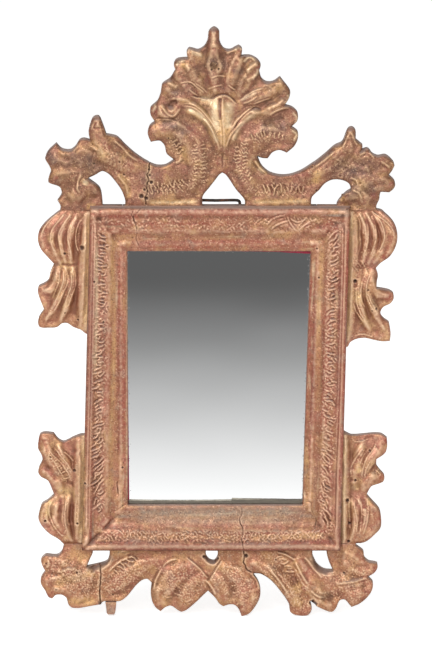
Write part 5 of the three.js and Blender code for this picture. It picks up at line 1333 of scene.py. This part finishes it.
# The middle leaves lie over their neighbours, and the piercings are bevelled.
apron.work("""
    fold 2.2 1.5 209,579 198,566 186,557;
    fold 2.2 1.3 222,560 214,572 208,582;
    fold 2.2 -0.1 152.5,592 156,579 162,568 170,560""")
for bevel in """
        86,567.5 92,567.5 100,565 106,560 108.5,554; 334,571.5 325,571 317,565 312.8,556""".split(";"):
    apron.slope(bevel, 6.5, 6.5, 0.35)
    apron.paint(bevel, "grey", 4.0, 1.0, 0.05)
apron.slope("205,556 209,561 214,562.5 218,557", 3.4, 7.0)
apron.zigzag("113,570 120,562 130,555", "118,578 128,568 138,558", 4.6, 0.8, 1.0)
apron.zigzag("272,556 280,564 286,574", "282,554 292,564 298,576", 4.8, 0.8, 0.8)
for dash in """
        172,588 178,591; 174,594 182,596; 180,585 187,588; 166,598 173,597; 186,593 193,594;
        186,602 192,599; 230,588 236,585; 232,594 239,591; 240,586 246,583; 226,574 229,569""".split(";"):
    apron.rib(dash, 0.7, 0.6)
apron.work("""
    stipple 7 150 0.75 0.35 54,564 64,572 80,576 92,590;
    stipple 6 110 0.75 0.4 112,590 124,578 136,568;
    stipple 6 150 0.75 0.4 284,566 294,580 300,600;
    stipple 8 160 0.75 0.35 332,590 350,572 366,584;
    cut 0.7 1.8 0.04 0.85 0.2 100.3,566 100.6,578 99.8,590 100.4,606;
    cut 0.7 1.8 0.03 0.7 0.25 243.7,548 244.4,556 243.4,562 246.5,569 252,573;
    cut 1.6 3.0 0.1 0.8 0 309.5,602 315,606;
    slope 4.0 5.0 310.5,601.5 316,606.5""")
apron.pits("""
    0.9 77,572.5; 0.6 46,564; 0.6 56,590; 0.6 115,590; 0.5 113,595; 0.8 344,573; 0.6 276,560;
    1.6 93.3,548.6; 1.4 204,557; 1.6 246,556""")
apron.tint(gold="""
    5 0.7 52,588 66,580 82,578 96,570; 4 0.7 66,602 84,602 96,600;
    4 0.7 110,556 124,550 140,548 156,549; 5.5 1.0 294,584 299,588 300,594;
    4 0.7 293,560 298,566 300,574; 4 0.5 160,594 168,602 160,606; 6 0.5 70,548 80,556 84,566;
    6 0.4 292,600 304,604; 5 0.4 344,576 360,584; 4 0.4 166,564 176,560 190,560;
    5 0.6 156,566 150,574""", red="""
    6 0.7 112,576 118,582 114,594; 5 0.7 124,592 132,586 138,574; 8 0.45 172,572 190,576 198,584;
    4 0.7 64,574 72,570; 5 0.6 76,588 86,584 94,576; 4 0.8 222,594 226,602;
    3.6 0.9 298,558 304,566 306,576; 3.4 0.8 302,586 306,592; 4 0.8 372,572 376,568;
    4 0.7 368,590 362,602; 4 0.6 292,612 306,612; 6 0.6 354,552 362,560 356,572;
    4 0.8 240,606 243,612; 3 0.8 46,596 52,598""", dirt="""
    5 0.45 320,598 334,596; 6 0.15 176,570 196,574; 2.4 1.0 98,604 103,603""")
for line, spread, count in strokes("""
        14 200 54,572 96,586; 12 130 112,590 136,568; 16 190 160,575 200,590; 14 150 226,574 250,596;
        12 180 266,560 304,604; 14 170 330,592 368,580"""):
    apron.scratches(line, spread, 2 * count, 2.2, 0.5, 0.42)
    apron.stipple(line, spread * 0.6, count, 0.55, 0.6)
apron.finish()
carve_boards(apron, APRON_BOARDS, apron_gilding, "gilt_carving", 2.8)

# Foot
# A squared peg under the left of the apron, tenoned into it, that stands this side level. It was
# whittled from an offcut, gilt with the rest and worn down to clay and wood at its end.


def worked_copy(node, name, ease, cell, waver, seed):
    """A CAD piece with its edges eased and its faces uneven, as a hand tool leaves them, sizes in mm."""
    mesh = solid_copy(node)
    bmesh.ops.dissolve_limit(mesh, angle_limit=math.radians(1.5), verts=mesh.verts, edges=mesh.edges)
    sharp = [e for e in mesh.edges if len(e.link_faces) == 2 and e.calc_face_angle() > math.radians(28)]
    bmesh.ops.bevel(mesh, geom=sharp, offset=ease * MM, segments=3, profile=0.6, affect="EDGES",
                    clamp_overlap=True)
    bmesh.ops.triangulate(mesh, faces=mesh.faces)
    long = [e for e in mesh.edges if e.calc_length() > cell * MM]
    while long:
        for edge in sorted(long, key=lambda e: -e.calc_length()):
            facing = [(f, next(v for v in f.verts if v not in edge.verts)) for f in edge.link_faces]
            middle = bmesh.utils.edge_split(edge, edge.verts[0], 0.5)[1]
            for face, opposite in facing:
                bmesh.utils.face_split(face, middle, opposite)
        long = [e for e in mesh.edges if e.calc_length() > cell * MM]
    mesh.normal_update()
    shift = Vector((seed * 3.7, seed * 1.9, seed * 5.3))
    for vert in mesh.verts:
        broad, fine = (noise.noise(vert.co / (size * MM) + shift) for size in (7, 2.2))
        vert.co -= vert.normal * (waver * MM) * min(max(0.5 + (0.65 * broad + 0.35 * fine), 0.0), 1.0)
    return released(name, mesh)


apron.work("""
    paint grey 7 0.8 104,604 111,612 117,615;
    paint red 3 0.7 110,606 112,609""")
foot = worked_copy("left_foot", "left_foot_gilt", 0.7, 0.8, 0.45, 3)
dress(foot, apron, apron_gilding, "frame", "gilt_carving", "left_foot")

# Pegs and dowels
# Riven pegs through the corner laps, and dowels in the glue joints of the boards. They are hidden once
# the frame is together, and only their ends show behind.

# Bare old cedar: dull red-brown with fine fibres a third of a millimetre apart, drawn here at one.
riven, tree, place = new_material("riven_cedar")
fibre = add(tree, "TexNoise", {"Vector": place, "Scale": 1 / (1.0 * MM), "Detail": 4.0, "Roughness": 0.6})
cloud = add(tree, "TexNoise", {"Vector": place, "Scale": 1 / (9 * MM), "Detail": 3.0})
colour = add(tree, "Mix", {"Factor": fibre, 6: linear("#5d3f2a"), 7: linear("#a07550")}, **COLOURS)
grime = add(tree, "MapRange", {
    "Value": cloud, "From Min": 0.4, "From Max": 0.65, "To Min": 0.0, "To Max": 0.6})
colour = add(tree, "Mix", {"Factor": grime, 6: colour, 7: linear("#4b3526")}, **COLOURS)
bump = add(tree, "Bump", {"Strength": 0.5, "Distance": 0.0002, "Height": fibre})
surface = add(tree, "BsdfPrincipled", {"Base Color": colour, "Roughness": 0.85, "Normal": bump})
add(tree, "OutputMaterial", {"Surface": surface})
for node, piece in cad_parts.items():
    if "dowel" in node or "corner_peg" in node:
        for socket in piece.material_slots:
            socket.material = riven

# Mirror plate
# An old plate of blown and flattened glass, silvered behind. Its face is very slightly wavy, its edges
# are ground, and the silvering has gone in spots along its rim.


def quad_board(name, node, cell, ease, sink):
    """A four-cornered CAD board as a fine closed grid in mm, its edges eased and its faces sunk by a rule."""
    mesh = solid_copy(node)
    places = {(round(v.co.x / MM, 3), round(v.co.z / MM, 3)) for v in mesh.verts}
    depths = [-v.co.y / MM for v in mesh.verts]
    mesh.free()
    middle = np.mean(np.array(list(places)), axis=0)
    around = sorted(places, key=lambda p: math.atan2(p[1] - middle[1], p[0] - middle[0]))
    a, b, c, d = [np.array(p) for p in around]
    columns = max(2, int(np.linalg.norm(b - a) / cell))
    rows = max(2, int(np.linalg.norm(d - a) / cell))
    verts, names = [], {}
    for side, depth in ((1, max(depths)), (-1, min(depths))):
        for r in range(rows + 1):
            for k in range(columns + 1):
                u, v = k / columns, r / rows
                p = (a * (1 - u) + b * u) * (1 - v) + (d * (1 - u) + c * u) * v
                rim = k in (0, columns) or r in (0, rows)
                at = depth - side * (ease if rim else sink(p[0], p[1], side))
                names[side, k, r] = len(verts)
                verts.append((p[0] * MM, -at * MM, p[1] * MM))
    faces = []
    for r in range(rows):
        for k in range(columns):
            faces.append((names[1, k, r], names[1, k + 1, r], names[1, k + 1, r + 1], names[1, k, r + 1]))
            faces.append((names[-1, k, r], names[-1, k, r + 1], names[-1, k + 1, r + 1], names[-1, k + 1, r]))
    border = [(k, 0) for k in range(columns)] + [(columns, r) for r in range(rows)]
    border += [(k, rows) for k in range(columns, 0, -1)] + [(0, r) for r in range(rows, 0, -1)]
    for (k, r), (k2, r2) in zip(border, border[1:] + border[:1]):
        faces.append((names[1, k2, r2], names[1, k, r], names[-1, k, r], names[-1, k2, r2]))
    return gathered(name, verts, faces)


def glass_wave(x, z, side):
    """How far in mm the face of the plate lies behind its highest points."""
    return 0.03 * (1 + noise.noise(Vector((x / 70, z / 45, 3.0)))) if side > 0 else 0.0


plate = quad_board("mirror_plate_silvered", "mirror_plate", 3.2, 0.35, glass_wave)
RIM_FADE = 7.0
rim_distance = plate.data.attributes.new("rim", "FLOAT", "POINT")
sight = [np.array(p) for p in SIGHT_CORNERS]
for i, vert in enumerate(plate.data.vertices):
    p = np.array([vert.co.x, vert.co.z]) / MM
    away = 1e9
    for a, b in zip(sight, sight[1:] + sight[:1]):
        along = (b - a) / np.linalg.norm(b - a)
        away = min(away, along[1] * (p - a)[0] - along[0] * (p - a)[1])
    rim_distance.data[i].value = max(0.0, 1 - max(away, 0.0) / RIM_FADE)

# Silvered glass: a clear reflection, a little grey, with small black spots where damp got in at the rim.
silvering, tree, place = new_material("silvered_old_plate")
rim = add(tree, "Attribute", output="Fac", attribute_name="rim")
spots = add(tree, "TexNoise", {"Vector": place, "Scale": 1 / (2.6 * MM), "Detail": 3.0, "Roughness": 0.7})
haze = add(tree, "TexNoise", {"Vector": place, "Scale": 1 / (60 * MM), "Detail": 2.0})
damp = add(tree, "Math", {0: rim, 1: 0.34, 2: spots}, operation="MULTIPLY_ADD")
damp = add(tree, "MapRange", {"Value": damp, "From Min": 0.84, "From Max": 0.96})
colour = add(tree, "Mix", {"Factor": damp, 6: linear("#fbfcfc"), 7: linear("#4a4640")}, **COLOURS)
metal = add(tree, "MapRange", {"Value": damp, "To Min": 1.0, "To Max": 0.2})
rough = add(tree, "MapRange", {
    "Value": haze, "From Min": 0.3, "From Max": 0.7, "To Min": 0.012, "To Max": 0.03})
rough = add(tree, "Math", {0: damp, 1: 0.4, 2: rough}, operation="MULTIPLY_ADD")
surface = add(tree, "BsdfPrincipled", {"Base Color": colour, "Metallic": metal, "Roughness": rough})
add(tree, "OutputMaterial", {"Surface": surface})
put(plate, silvering, "frame", "silvered_plate", "mirror_plate")

# Crimson lining
# Thin strips of crimson cloth glued round the rebate, so that the glass does not grate on the wood.
# Slivers of it show beside the plate at the upper right and the lower left.

# The cloth has slipped down at the upper right, more and more towards the corner.
SLIP = 0.0013
SLIP_ABOVE = -0.052
SLIP_FROM = 0.058
SLIP_OVER = 0.03
lining = worked_copy("red_lining", "red_lining_cloth", 0.08, 5.0, 0.07, 5)
for vert in lining.data.vertices:
    if vert.co.z > SLIP_ABOVE:
        vert.co.z -= SLIP * min(max((vert.co.x - SLIP_FROM) / SLIP_OVER, 0.0), 1.0)
# Old wool cloth: dull crimson, threads about 0.5 mm apart drawn at 0.8, faded and dusty in patches.
crimson, tree, place = new_material("crimson_plain_weave")
threads = add(tree, "TexNoise", {"Vector": place, "Scale": 1 / (0.8 * MM), "Detail": 2.0})
faded = add(tree, "TexNoise", {"Vector": place, "Scale": 1 / (14 * MM), "Detail": 3.0})
colour = add(tree, "Mix", {"Factor": threads, 6: linear("#7c1a2c"), 7: linear("#c4405a")}, **COLOURS)
faded = add(tree, "MapRange", {"Value": faded, "From Min": 0.45, "From Max": 0.7, "To Max": 0.5})
colour = add(tree, "Mix", {"Factor": faded, 6: colour, 7: linear("#8d4a4c")}, **COLOURS)
bump = add(tree, "Bump", {"Strength": 0.6, "Distance": 0.0002, "Height": threads})
surface = add(tree, "BsdfPrincipled", {
    "Base Color": colour, "Roughness": 0.95, "Sheen Weight": 0.3, "Normal": bump})
add(tree, "OutputMaterial", {"Surface": surface})
put(lining, crimson, "frame", "crimson_lining", "red_lining")

# Packing strips
# Two dark strips wedged along the lower edge of the plate to hold it up. Their upper arris has been
# rubbed pale by a knife.

# Stained softwood: almost black brown, with a rubbed olive-grey edge and long fibres.
packed, tree, place = new_material("stained_packing_wood")
along = add(tree, "Mapping", {"Vector": place, "Scale": (0.08, 1.0, 1.0)})
fibre = add(tree, "TexNoise", {"Vector": along, "Scale": 1 / (0.7 * MM), "Detail": 3.0, "Roughness": 0.7})
worn = add(tree, "TexNoise", {"Vector": place, "Scale": 1 / (8 * MM), "Detail": 3.0})
edge = add(tree, "Attribute", output="Fac", attribute_name="arris")
rubbed = add(tree, "Math", {0: edge, 1: worn}, operation="MULTIPLY")
rubbed = add(tree, "MapRange", {"Value": rubbed, "From Min": 0.15, "From Max": 0.45})
colour = add(tree, "Mix", {"Factor": fibre, 6: linear("#3f3a34"), 7: linear("#857d6e")}, **COLOURS)
colour = add(tree, "Mix", {"Factor": rubbed, 6: colour, 7: linear("#bdb6a4")}, **COLOURS)
bump = add(tree, "Bump", {"Strength": 0.5, "Distance": 0.0002, "Height": fibre})
surface = add(tree, "BsdfPrincipled", {"Base Color": colour, "Roughness": 0.7, "Normal": bump})
add(tree, "OutputMaterial", {"Surface": surface})
STRIP_REACH = 3.1
for seed, strip in enumerate(("packing_strip_left", "packing_strip_right")):
    piece = worked_copy(strip, strip + "_stained", 0.45, 1.4, 0.3, 7 + seed)
    # Each was whittled to run right into its corner.
    low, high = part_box(strip)
    fixed_end = (high, low)[seed][0]
    longer = 1 + STRIP_REACH * MM / (high[0] - low[0])
    arris = piece.data.attributes.new("arris", "FLOAT", "POINT")
    for i, vert in enumerate(piece.data.vertices):
        share = (vert.co.x - low[0]) / (high[0] - low[0])
        height = (vert.co.z - low[2]) / (high[2] - low[2])
        rubbed = max(0.0, 1 - (1 - height) * 3.2)
        lift = (0.5 - 2.4 * share * (1 - share), 1.9 - 1.1 * share)[seed]
        arris.data[i].value = rubbed * (1.0, 1.1 - 1.1 * share)[seed]
        vert.co.x = fixed_end + (vert.co.x - fixed_end) * longer - seed * 0.4 * MM * (1 - share)
        vert.co.z += lift * MM * height
    put(piece, packed, "frame", "dark_strip", strip)

# Backboard
# A thin board of old cedar, planed by hand, that keeps the glass in. It has darkened, and dust has
# settled on it.


def planed(x, z, side):
    """How deep in mm the strokes of the plane left the back of the board."""
    stroke = abs(math.sin((x + 4 * noise.noise(Vector((0, z / 90, 1)))) * math.pi / 21))
    return 0.16 * (1 - stroke) + 0.06 * (1 + noise.noise(Vector((x / 6, z / 40, 9)))) if side < 0 else 0.03


board = quad_board("backboard_planed", "backboard", 2.2, 0.35, planed)
# Hand-planed cedar: long grain 2 to 4 mm wide, grey-brown from age, darker streaks and stains.
cedar, tree, place = new_material("planed_old_cedar")
along = add(tree, "Mapping", {"Vector": place, "Scale": (1.0, 1.0, 0.05)})
grain = add(tree, "TexNoise", {"Vector": along, "Scale": 1 / (2.8 * MM), "Detail": 5.0, "Roughness": 0.65})
fibre = add(tree, "TexNoise", {"Vector": along, "Scale": 1 / (0.6 * MM), "Detail": 2.0})
stain = add(tree, "TexNoise", {"Vector": place, "Scale": 1 / (45 * MM), "Detail": 4.0, "Roughness": 0.6})
colour = linear("#6d4d33")
for pattern, low, high, most, tone in (
        (grain, 0.35, 0.65, 1.0, "#a17f58"), (fibre, 0.35, 0.7, 0.35, "#4e3624"),
        (stain, 0.48, 0.66, 0.6, "#5a4635")):
    share = add(tree, "MapRange", {"Value": pattern, "From Min": low, "From Max": high, "To Max": most})
    colour = add(tree, "Mix", {"Factor": share, 6: colour, 7: linear(tone)}, **COLOURS)
relief = add(tree, "Math", {0: grain, 1: fibre}, operation="ADD")
bump = add(tree, "Bump", {"Strength": 0.5, "Distance": 0.0002, "Height": relief})
surface = add(tree, "BsdfPrincipled", {"Base Color": colour, "Roughness": 0.88, "Normal": bump})
add(tree, "OutputMaterial", {"Surface": surface})
put(board, cedar, "frame", "backboard", "backboard")

# Brads
# Eight hand-forged brads, driven level into the wall of the rebate behind the backboard, two a side.
# Their shanks taper, and their heads are flat and uneven from the hammer.

# Wrought iron: blackened, with orange-brown rust in patches of a few mm and a rough hammered skin.
forged, tree, place = new_material("forged_iron")
scale = add(tree, "TexNoise", {"Vector": place, "Scale": 1 / (3.5 * MM), "Detail": 4.0, "Roughness": 0.65})
pitted = add(tree, "TexNoise", {"Vector": place, "Scale": 1 / (0.7 * MM), "Detail": 3.0})
rust = add(tree, "MapRange", {"Value": scale, "From Min": 0.48, "From Max": 0.66})
colour = add(tree, "Mix", {"Factor": pitted, 6: linear("#221e1b"), 7: linear("#4a423b")}, **COLOURS)
colour = add(tree, "Mix", {"Factor": rust, 6: colour, 7: linear("#6b4129")}, **COLOURS)
metal = add(tree, "MapRange", {"Value": rust, "To Min": 0.8, "To Max": 0.1})
rough = add(tree, "MapRange", {"Value": rust, "To Min": 0.5, "To Max": 0.85})
relief = add(tree, "Math", {0: scale, 1: pitted}, operation="ADD")
bump = add(tree, "Bump", {"Strength": 0.7, "Distance": 0.0002, "Height": relief})
surface = add(tree, "BsdfPrincipled", {
    "Base Color": colour, "Metallic": metal, "Roughness": rough, "Normal": bump})
add(tree, "OutputMaterial", {"Surface": surface})


def turn_outwards(data, seam=0.0):
    """Turns a mesh's faces outwards, with the points of its seams joined."""
    mesh = bmesh.new()
    mesh.from_mesh(data)
    if seam:
        bmesh.ops.remove_doubles(mesh, verts=mesh.verts, dist=seam)
    bmesh.ops.recalc_face_normals(mesh, faces=mesh.faces)
    mesh.to_mesh(data)
    mesh.free()


BRAD_RADIUS = 0.7
BRAD_HEAD = 1.7
BRAD_SIDES = 16
HEAD_RING = 6
for seed, node in enumerate(sorted(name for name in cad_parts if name.startswith("brad_"))):
    solid = solid_copy(node)
    points = np.array([v.co[:] for v in solid.verts]) / MM
    solid.free()
    centre = points.mean(axis=0)
    axis = np.linalg.svd(points - centre)[2][0]
    along = (points - centre) @ axis
    off = np.linalg.norm(points - centre - along[:, None] * axis, axis=1)
    if off[along > 0].max() < off[along < 0].max():
        axis = -axis
    # The axis now runs from the tip to the head, through the middle of the shank.
    along = (points - centre) @ axis
    tip_ring = points[along < along.min() + 0.2].mean(axis=0)
    length = float(along.max() - along.min())
    limit = points[:, 1].min()
    across = np.array([0.0, 1.0, 0.0])
    level = np.cross(axis, across)
    profile = (
        (0.0, 0.12), (0.7, 0.3), (3.0, 0.5), (8.0, 0.62), (length - 2.2, 0.68), (length - 0.95, 0.7),
        (length - 0.8, BRAD_HEAD - 0.15), (length - 0.45, BRAD_HEAD), (length - 0.12, BRAD_HEAD - 0.25),
        (length, BRAD_HEAD * 0.45))
    verts, faces = [], []
    for k, (at, radius) in enumerate(profile):
        for i in range(BRAD_SIDES):
            turn = 2 * math.pi * i / BRAD_SIDES
            if k >= HEAD_RING:
                reach = radius * (1 - 0.07 * (1 + math.sin(3 * turn + seed)))
            else:
                squared = 1 / (abs(math.cos(turn)) ** 4 + abs(math.sin(turn)) ** 4) ** 0.25
                reach = min(radius * squared, BRAD_RADIUS)
            p = tip_ring + axis * at + (across * math.cos(turn) + level * math.sin(turn)) * reach
            verts.append((p[0] * MM, max(p[1], limit) * MM, p[2] * MM))
    for k in range(len(profile) - 1):
        a = k * BRAD_SIDES
        faces += [(a + i, a + (i + 1) % BRAD_SIDES, a + BRAD_SIDES + (i + 1) % BRAD_SIDES, a + BRAD_SIDES + i)
                  for i in range(BRAD_SIDES)]
    faces.append(tuple(range(BRAD_SIDES - 1, -1, -1)))
    faces.append(tuple(range(len(verts) - BRAD_SIDES, len(verts))))
    brad = gathered(node + "_forged", verts, faces)
    turn_outwards(brad.data)
    put(brad, forged, "frame", "old_iron", node)

# Hanging bail and staples
# A bail of round iron wire behind the crest, its feet bent outwards into two staples that are driven
# into the back of the top rail. It hangs the mirror on a nail and swings down flat.

wire_tree = bpy.data.node_groups.new("drawn_wire", "GeometryNodeTree")
for label, kind, value in (
        ("Path", "NodeSocketGeometry", None), ("Radius", "NodeSocketFloat", 0.001),
        ("Unevenness", "NodeSocketFloat", 0.0001), ("Material", "NodeSocketMaterial", None)):
    socket = wire_tree.interface.new_socket(label, in_out="INPUT", socket_type=kind)
    if value is not None:
        socket.default_value = value
wire_tree.interface.new_socket("Wire", in_out="OUTPUT", socket_type="NodeSocketGeometry")
given = add(wire_tree, "NodeGroupInput", output="Path").node.outputs
steps = add(wire_tree, "GeometryNodeResampleCurve", {"Curve": given["Path"], "Length": 0.0005}, mode="LENGTH")
ring = add(wire_tree, "GeometryNodeCurvePrimitiveCircle", {"Resolution": 18, "Radius": given["Radius"]})
tube = add(wire_tree, "GeometryNodeCurveToMesh", {"Curve": steps, "Profile Curve": ring, "Fill Caps": True})
dents = add(wire_tree, "TexNoise", {"Scale": 260.0, "Detail": 2.0})
depth = add(wire_tree, "Math", {0: dents, 1: given["Unevenness"]}, operation="MULTIPLY")
inwards = add(wire_tree, "VectorMath", {
    0: add(wire_tree, "GeometryNodeInputNormal"), "Scale": -1.0}, operation="SCALE")
push = add(wire_tree, "VectorMath", {0: inwards, "Scale": depth}, operation="SCALE")
dented = add(wire_tree, "GeometryNodeSetPosition", {"Geometry": tube, "Offset": push})
real = add(wire_tree, "GeometryNodeRealizeInstances", {"Geometry": dented})
coated = add(wire_tree, "GeometryNodeSetMaterial", {"Geometry": real, "Material": given["Material"]})
add(wire_tree, "NodeGroupOutput", {"Wire": coated})


def wire(name, points, radius, uneven, body, node):
    """One piece of wire along points in mm, replacing a CAD wire."""
    curve = bpy.data.curves.new(name, "CURVE")
    curve.dimensions = "3D"
    spline = curve.splines.new("POLY")
    spline.points.add(len(points) - 1)
    for at, p in zip(spline.points, points):
        at.co = (p[0] * MM, p[1] * MM, p[2] * MM, 1)
    shaped = linked(name, curve)
    modifier = shaped.modifiers.new("drawn_wire", "NODES")
    modifier.node_group = wire_tree
    given = {"Radius": radius * MM, "Unevenness": uneven * MM, "Material": forged}
    for item in wire_tree.interface.items_tree:
        if item.in_out == "INPUT" and item.name in given:
            modifier[item.identifier] = given[item.name]
    drawn = settled(shaped)
    bpy.data.objects.remove(shaped)
    drawn.name = name
    turn_outwards(drawn, seam=1e-6)
    put(linked(name, drawn), forged, body, "old_iron", node)


BAIL_HALF_WIDTH = 24
BAIL_HEIGHT = 24
BAIL_BEND = 1.9
BAIL_FOOT = 8
BAIL_WIRE = 1.6
PIVOT_BACK = 4.5
PIVOT_HEIGHT = -22.4
GLUE_GAP = 0.3
lean = math.asin((PIVOT_BACK - BAIL_WIRE - GLUE_GAP) / BAIL_HEIGHT)
arm, bend, top = BAIL_HALF_WIDTH, BAIL_BEND, BAIL_HEIGHT
half_bail = [
    (arm + BAIL_FOOT, 0), (arm + bend, 0), (arm + bend / 3, bend / 3), (arm, bend), (arm, top - bend),
    (arm - bend / 3, top - bend / 3), (arm - bend, top), (0, top)]
flat_bail = half_bail + [(-x, up) for x, up in half_bail[-2::-1]]
bail_points = flowing([(x, PIVOT_BACK - up * math.sin(lean), PIVOT_HEIGHT + up * math.cos(lean))
                       for x, up in flat_bail], 0.7)
wire("hanging_bail_forged", bail_points, BAIL_WIRE, 0.22, "bail", "hanging_bail")

STAPLE_WIRE = 1.0
STAPLE_HALF = BAIL_WIRE + 0.6 + STAPLE_WIRE
STAPLE_LEG = 10
staple_at = BAIL_HALF_WIDTH + BAIL_FOOT * 2 / 3
for name, x in (("staple_left", -staple_at), ("staple_right", staple_at)):
    bottom, top = PIVOT_HEIGHT - STAPLE_HALF, PIVOT_HEIGHT + STAPLE_HALF
    crown = [(x, PIVOT_BACK + STAPLE_HALF * math.cos(turn), PIVOT_HEIGHT + STAPLE_HALF * math.sin(turn))
             for turn in (s * math.pi / 2 for s in (-1, -0.7, 0, 0.7, 1))]
    staple = [(x, -STAPLE_LEG, bottom), (x, 0, bottom)] + crown + [(x, 0, top), (x, -STAPLE_LEG, top)]
    wire(name + "_forged", flowing(staple, 0.7), STAPLE_WIRE, 0.14, "frame", name)

# Studio
# A pale sweep, three large soft lights in front, one behind, and the camera of the front view.

# Matt white studio paper. Camera rays see it evenly white, with the object's shadow; mirror and gloss rays
# see a painted reflection that glows white near the object and fades to dark grey towards the camera.
sweep, tree, place = new_material("pale_studio_sweep")
rays = add(tree, "LightPath").node.outputs
where = add(tree, "SeparateXYZ", {"Vector": place}, output="Y")
painted_reflection_fade = add(tree, "MapRange", {"Value": where, "From Min": -2.5, "From Max": -0.72})
painted_reflection_fade = add(tree, "Math", {0: painted_reflection_fade, 1: 1.62}, operation="POWER")
painted_reflection_fade = add(tree, "Math", {0: painted_reflection_fade, 1: 0.93, 2: 0.113}, operation="MULTIPLY_ADD")
painted_reflection = add(tree, "Emission", {"Color": painted_reflection_fade, "Strength": 1.0})
seen = add(tree, "Emission", {"Color": linear("#ffffff"), "Strength": 0.6})
white_paper = add(tree, "BsdfDiffuse", {"Color": linear("#ffffff")})
paper = add(tree, "BsdfDiffuse", {"Color": linear("#ebebeb")})
bright = add(tree, "AddShader", {0: seen, 1: white_paper})
to_camera = add(tree, "MixShader", {"Fac": rays["Is Camera Ray"], 1: paper, 2: bright})
to_mirror = add(tree, "MixShader", {"Fac": rays["Is Glossy Ray"], 1: to_camera, 2: painted_reflection})
add(tree, "OutputMaterial", {"Surface": to_mirror})
FLOOR_HALF = 30.0
sides = ((-1, -1), (1, -1), (1, 1), (-1, 1))
floor_corners = [(x * FLOOR_HALF, y * FLOOR_HALF, cad_box[0][2]) for x, y in sides]
floor = gathered("studio_floor", floor_corners, [(0, 1, 2, 3)])
floor.data.materials.append(sweep)

world = bpy.data.worlds.new("studio_air")
bpy.context.scene.world = world
world.use_nodes = True
world.node_tree.nodes.clear()
tree = world.node_tree
air_rays = add(tree, "LightPath", output="Is Camera Ray")
white_air = add(tree, "Background", {"Color": linear("#ffffff"), "Strength": 1.0})
soft_air = add(tree, "Background", {"Color": linear("#ffffff"), "Strength": 0.42})
air = add(tree, "MixShader", {"Fac": air_rays, 1: soft_air, 2: white_air})
add(tree, "OutputWorld", {"Surface": air})

LIT = Vector((0, 0, -0.12))
for light_name, place, power, size in (
        ("soft_left", (-1.1, -2.2, 1.2), 30, 0.9), ("soft_right", (1.5, -2.4, 0.4), 12, 1.2),
        ("soft_front", (-0.2, -3.4, 0.9), 26, 1.0), ("soft_rear", (-1.2, 2.8, -0.1), 16, 0.8)):
    lamp = bpy.data.lights.new(light_name, "AREA")
    lamp.energy = power
    lamp.size = size
    light = linked(light_name, lamp)
    light.location = place
    light.rotation_euler = (LIT - light.location).to_track_quat("-Z", "Y").to_euler()

lens = bpy.data.cameras.new("front_view")
lens.sensor_width = 36.0
lens.lens = lens.sensor_width * CAMERA_DISTANCE / (METRES_PER_PIXEL * PICTURE_ROWS)
lens.clip_end = 100.0
camera = linked("front_view", lens)
camera.location = EYE
camera.rotation_euler = LOOK_AHEAD.to_track_quat("-Z", "Y").to_euler()
bpy.context.scene.camera = camera
bpy.context.scene.view_settings.view_transform = "Standard"
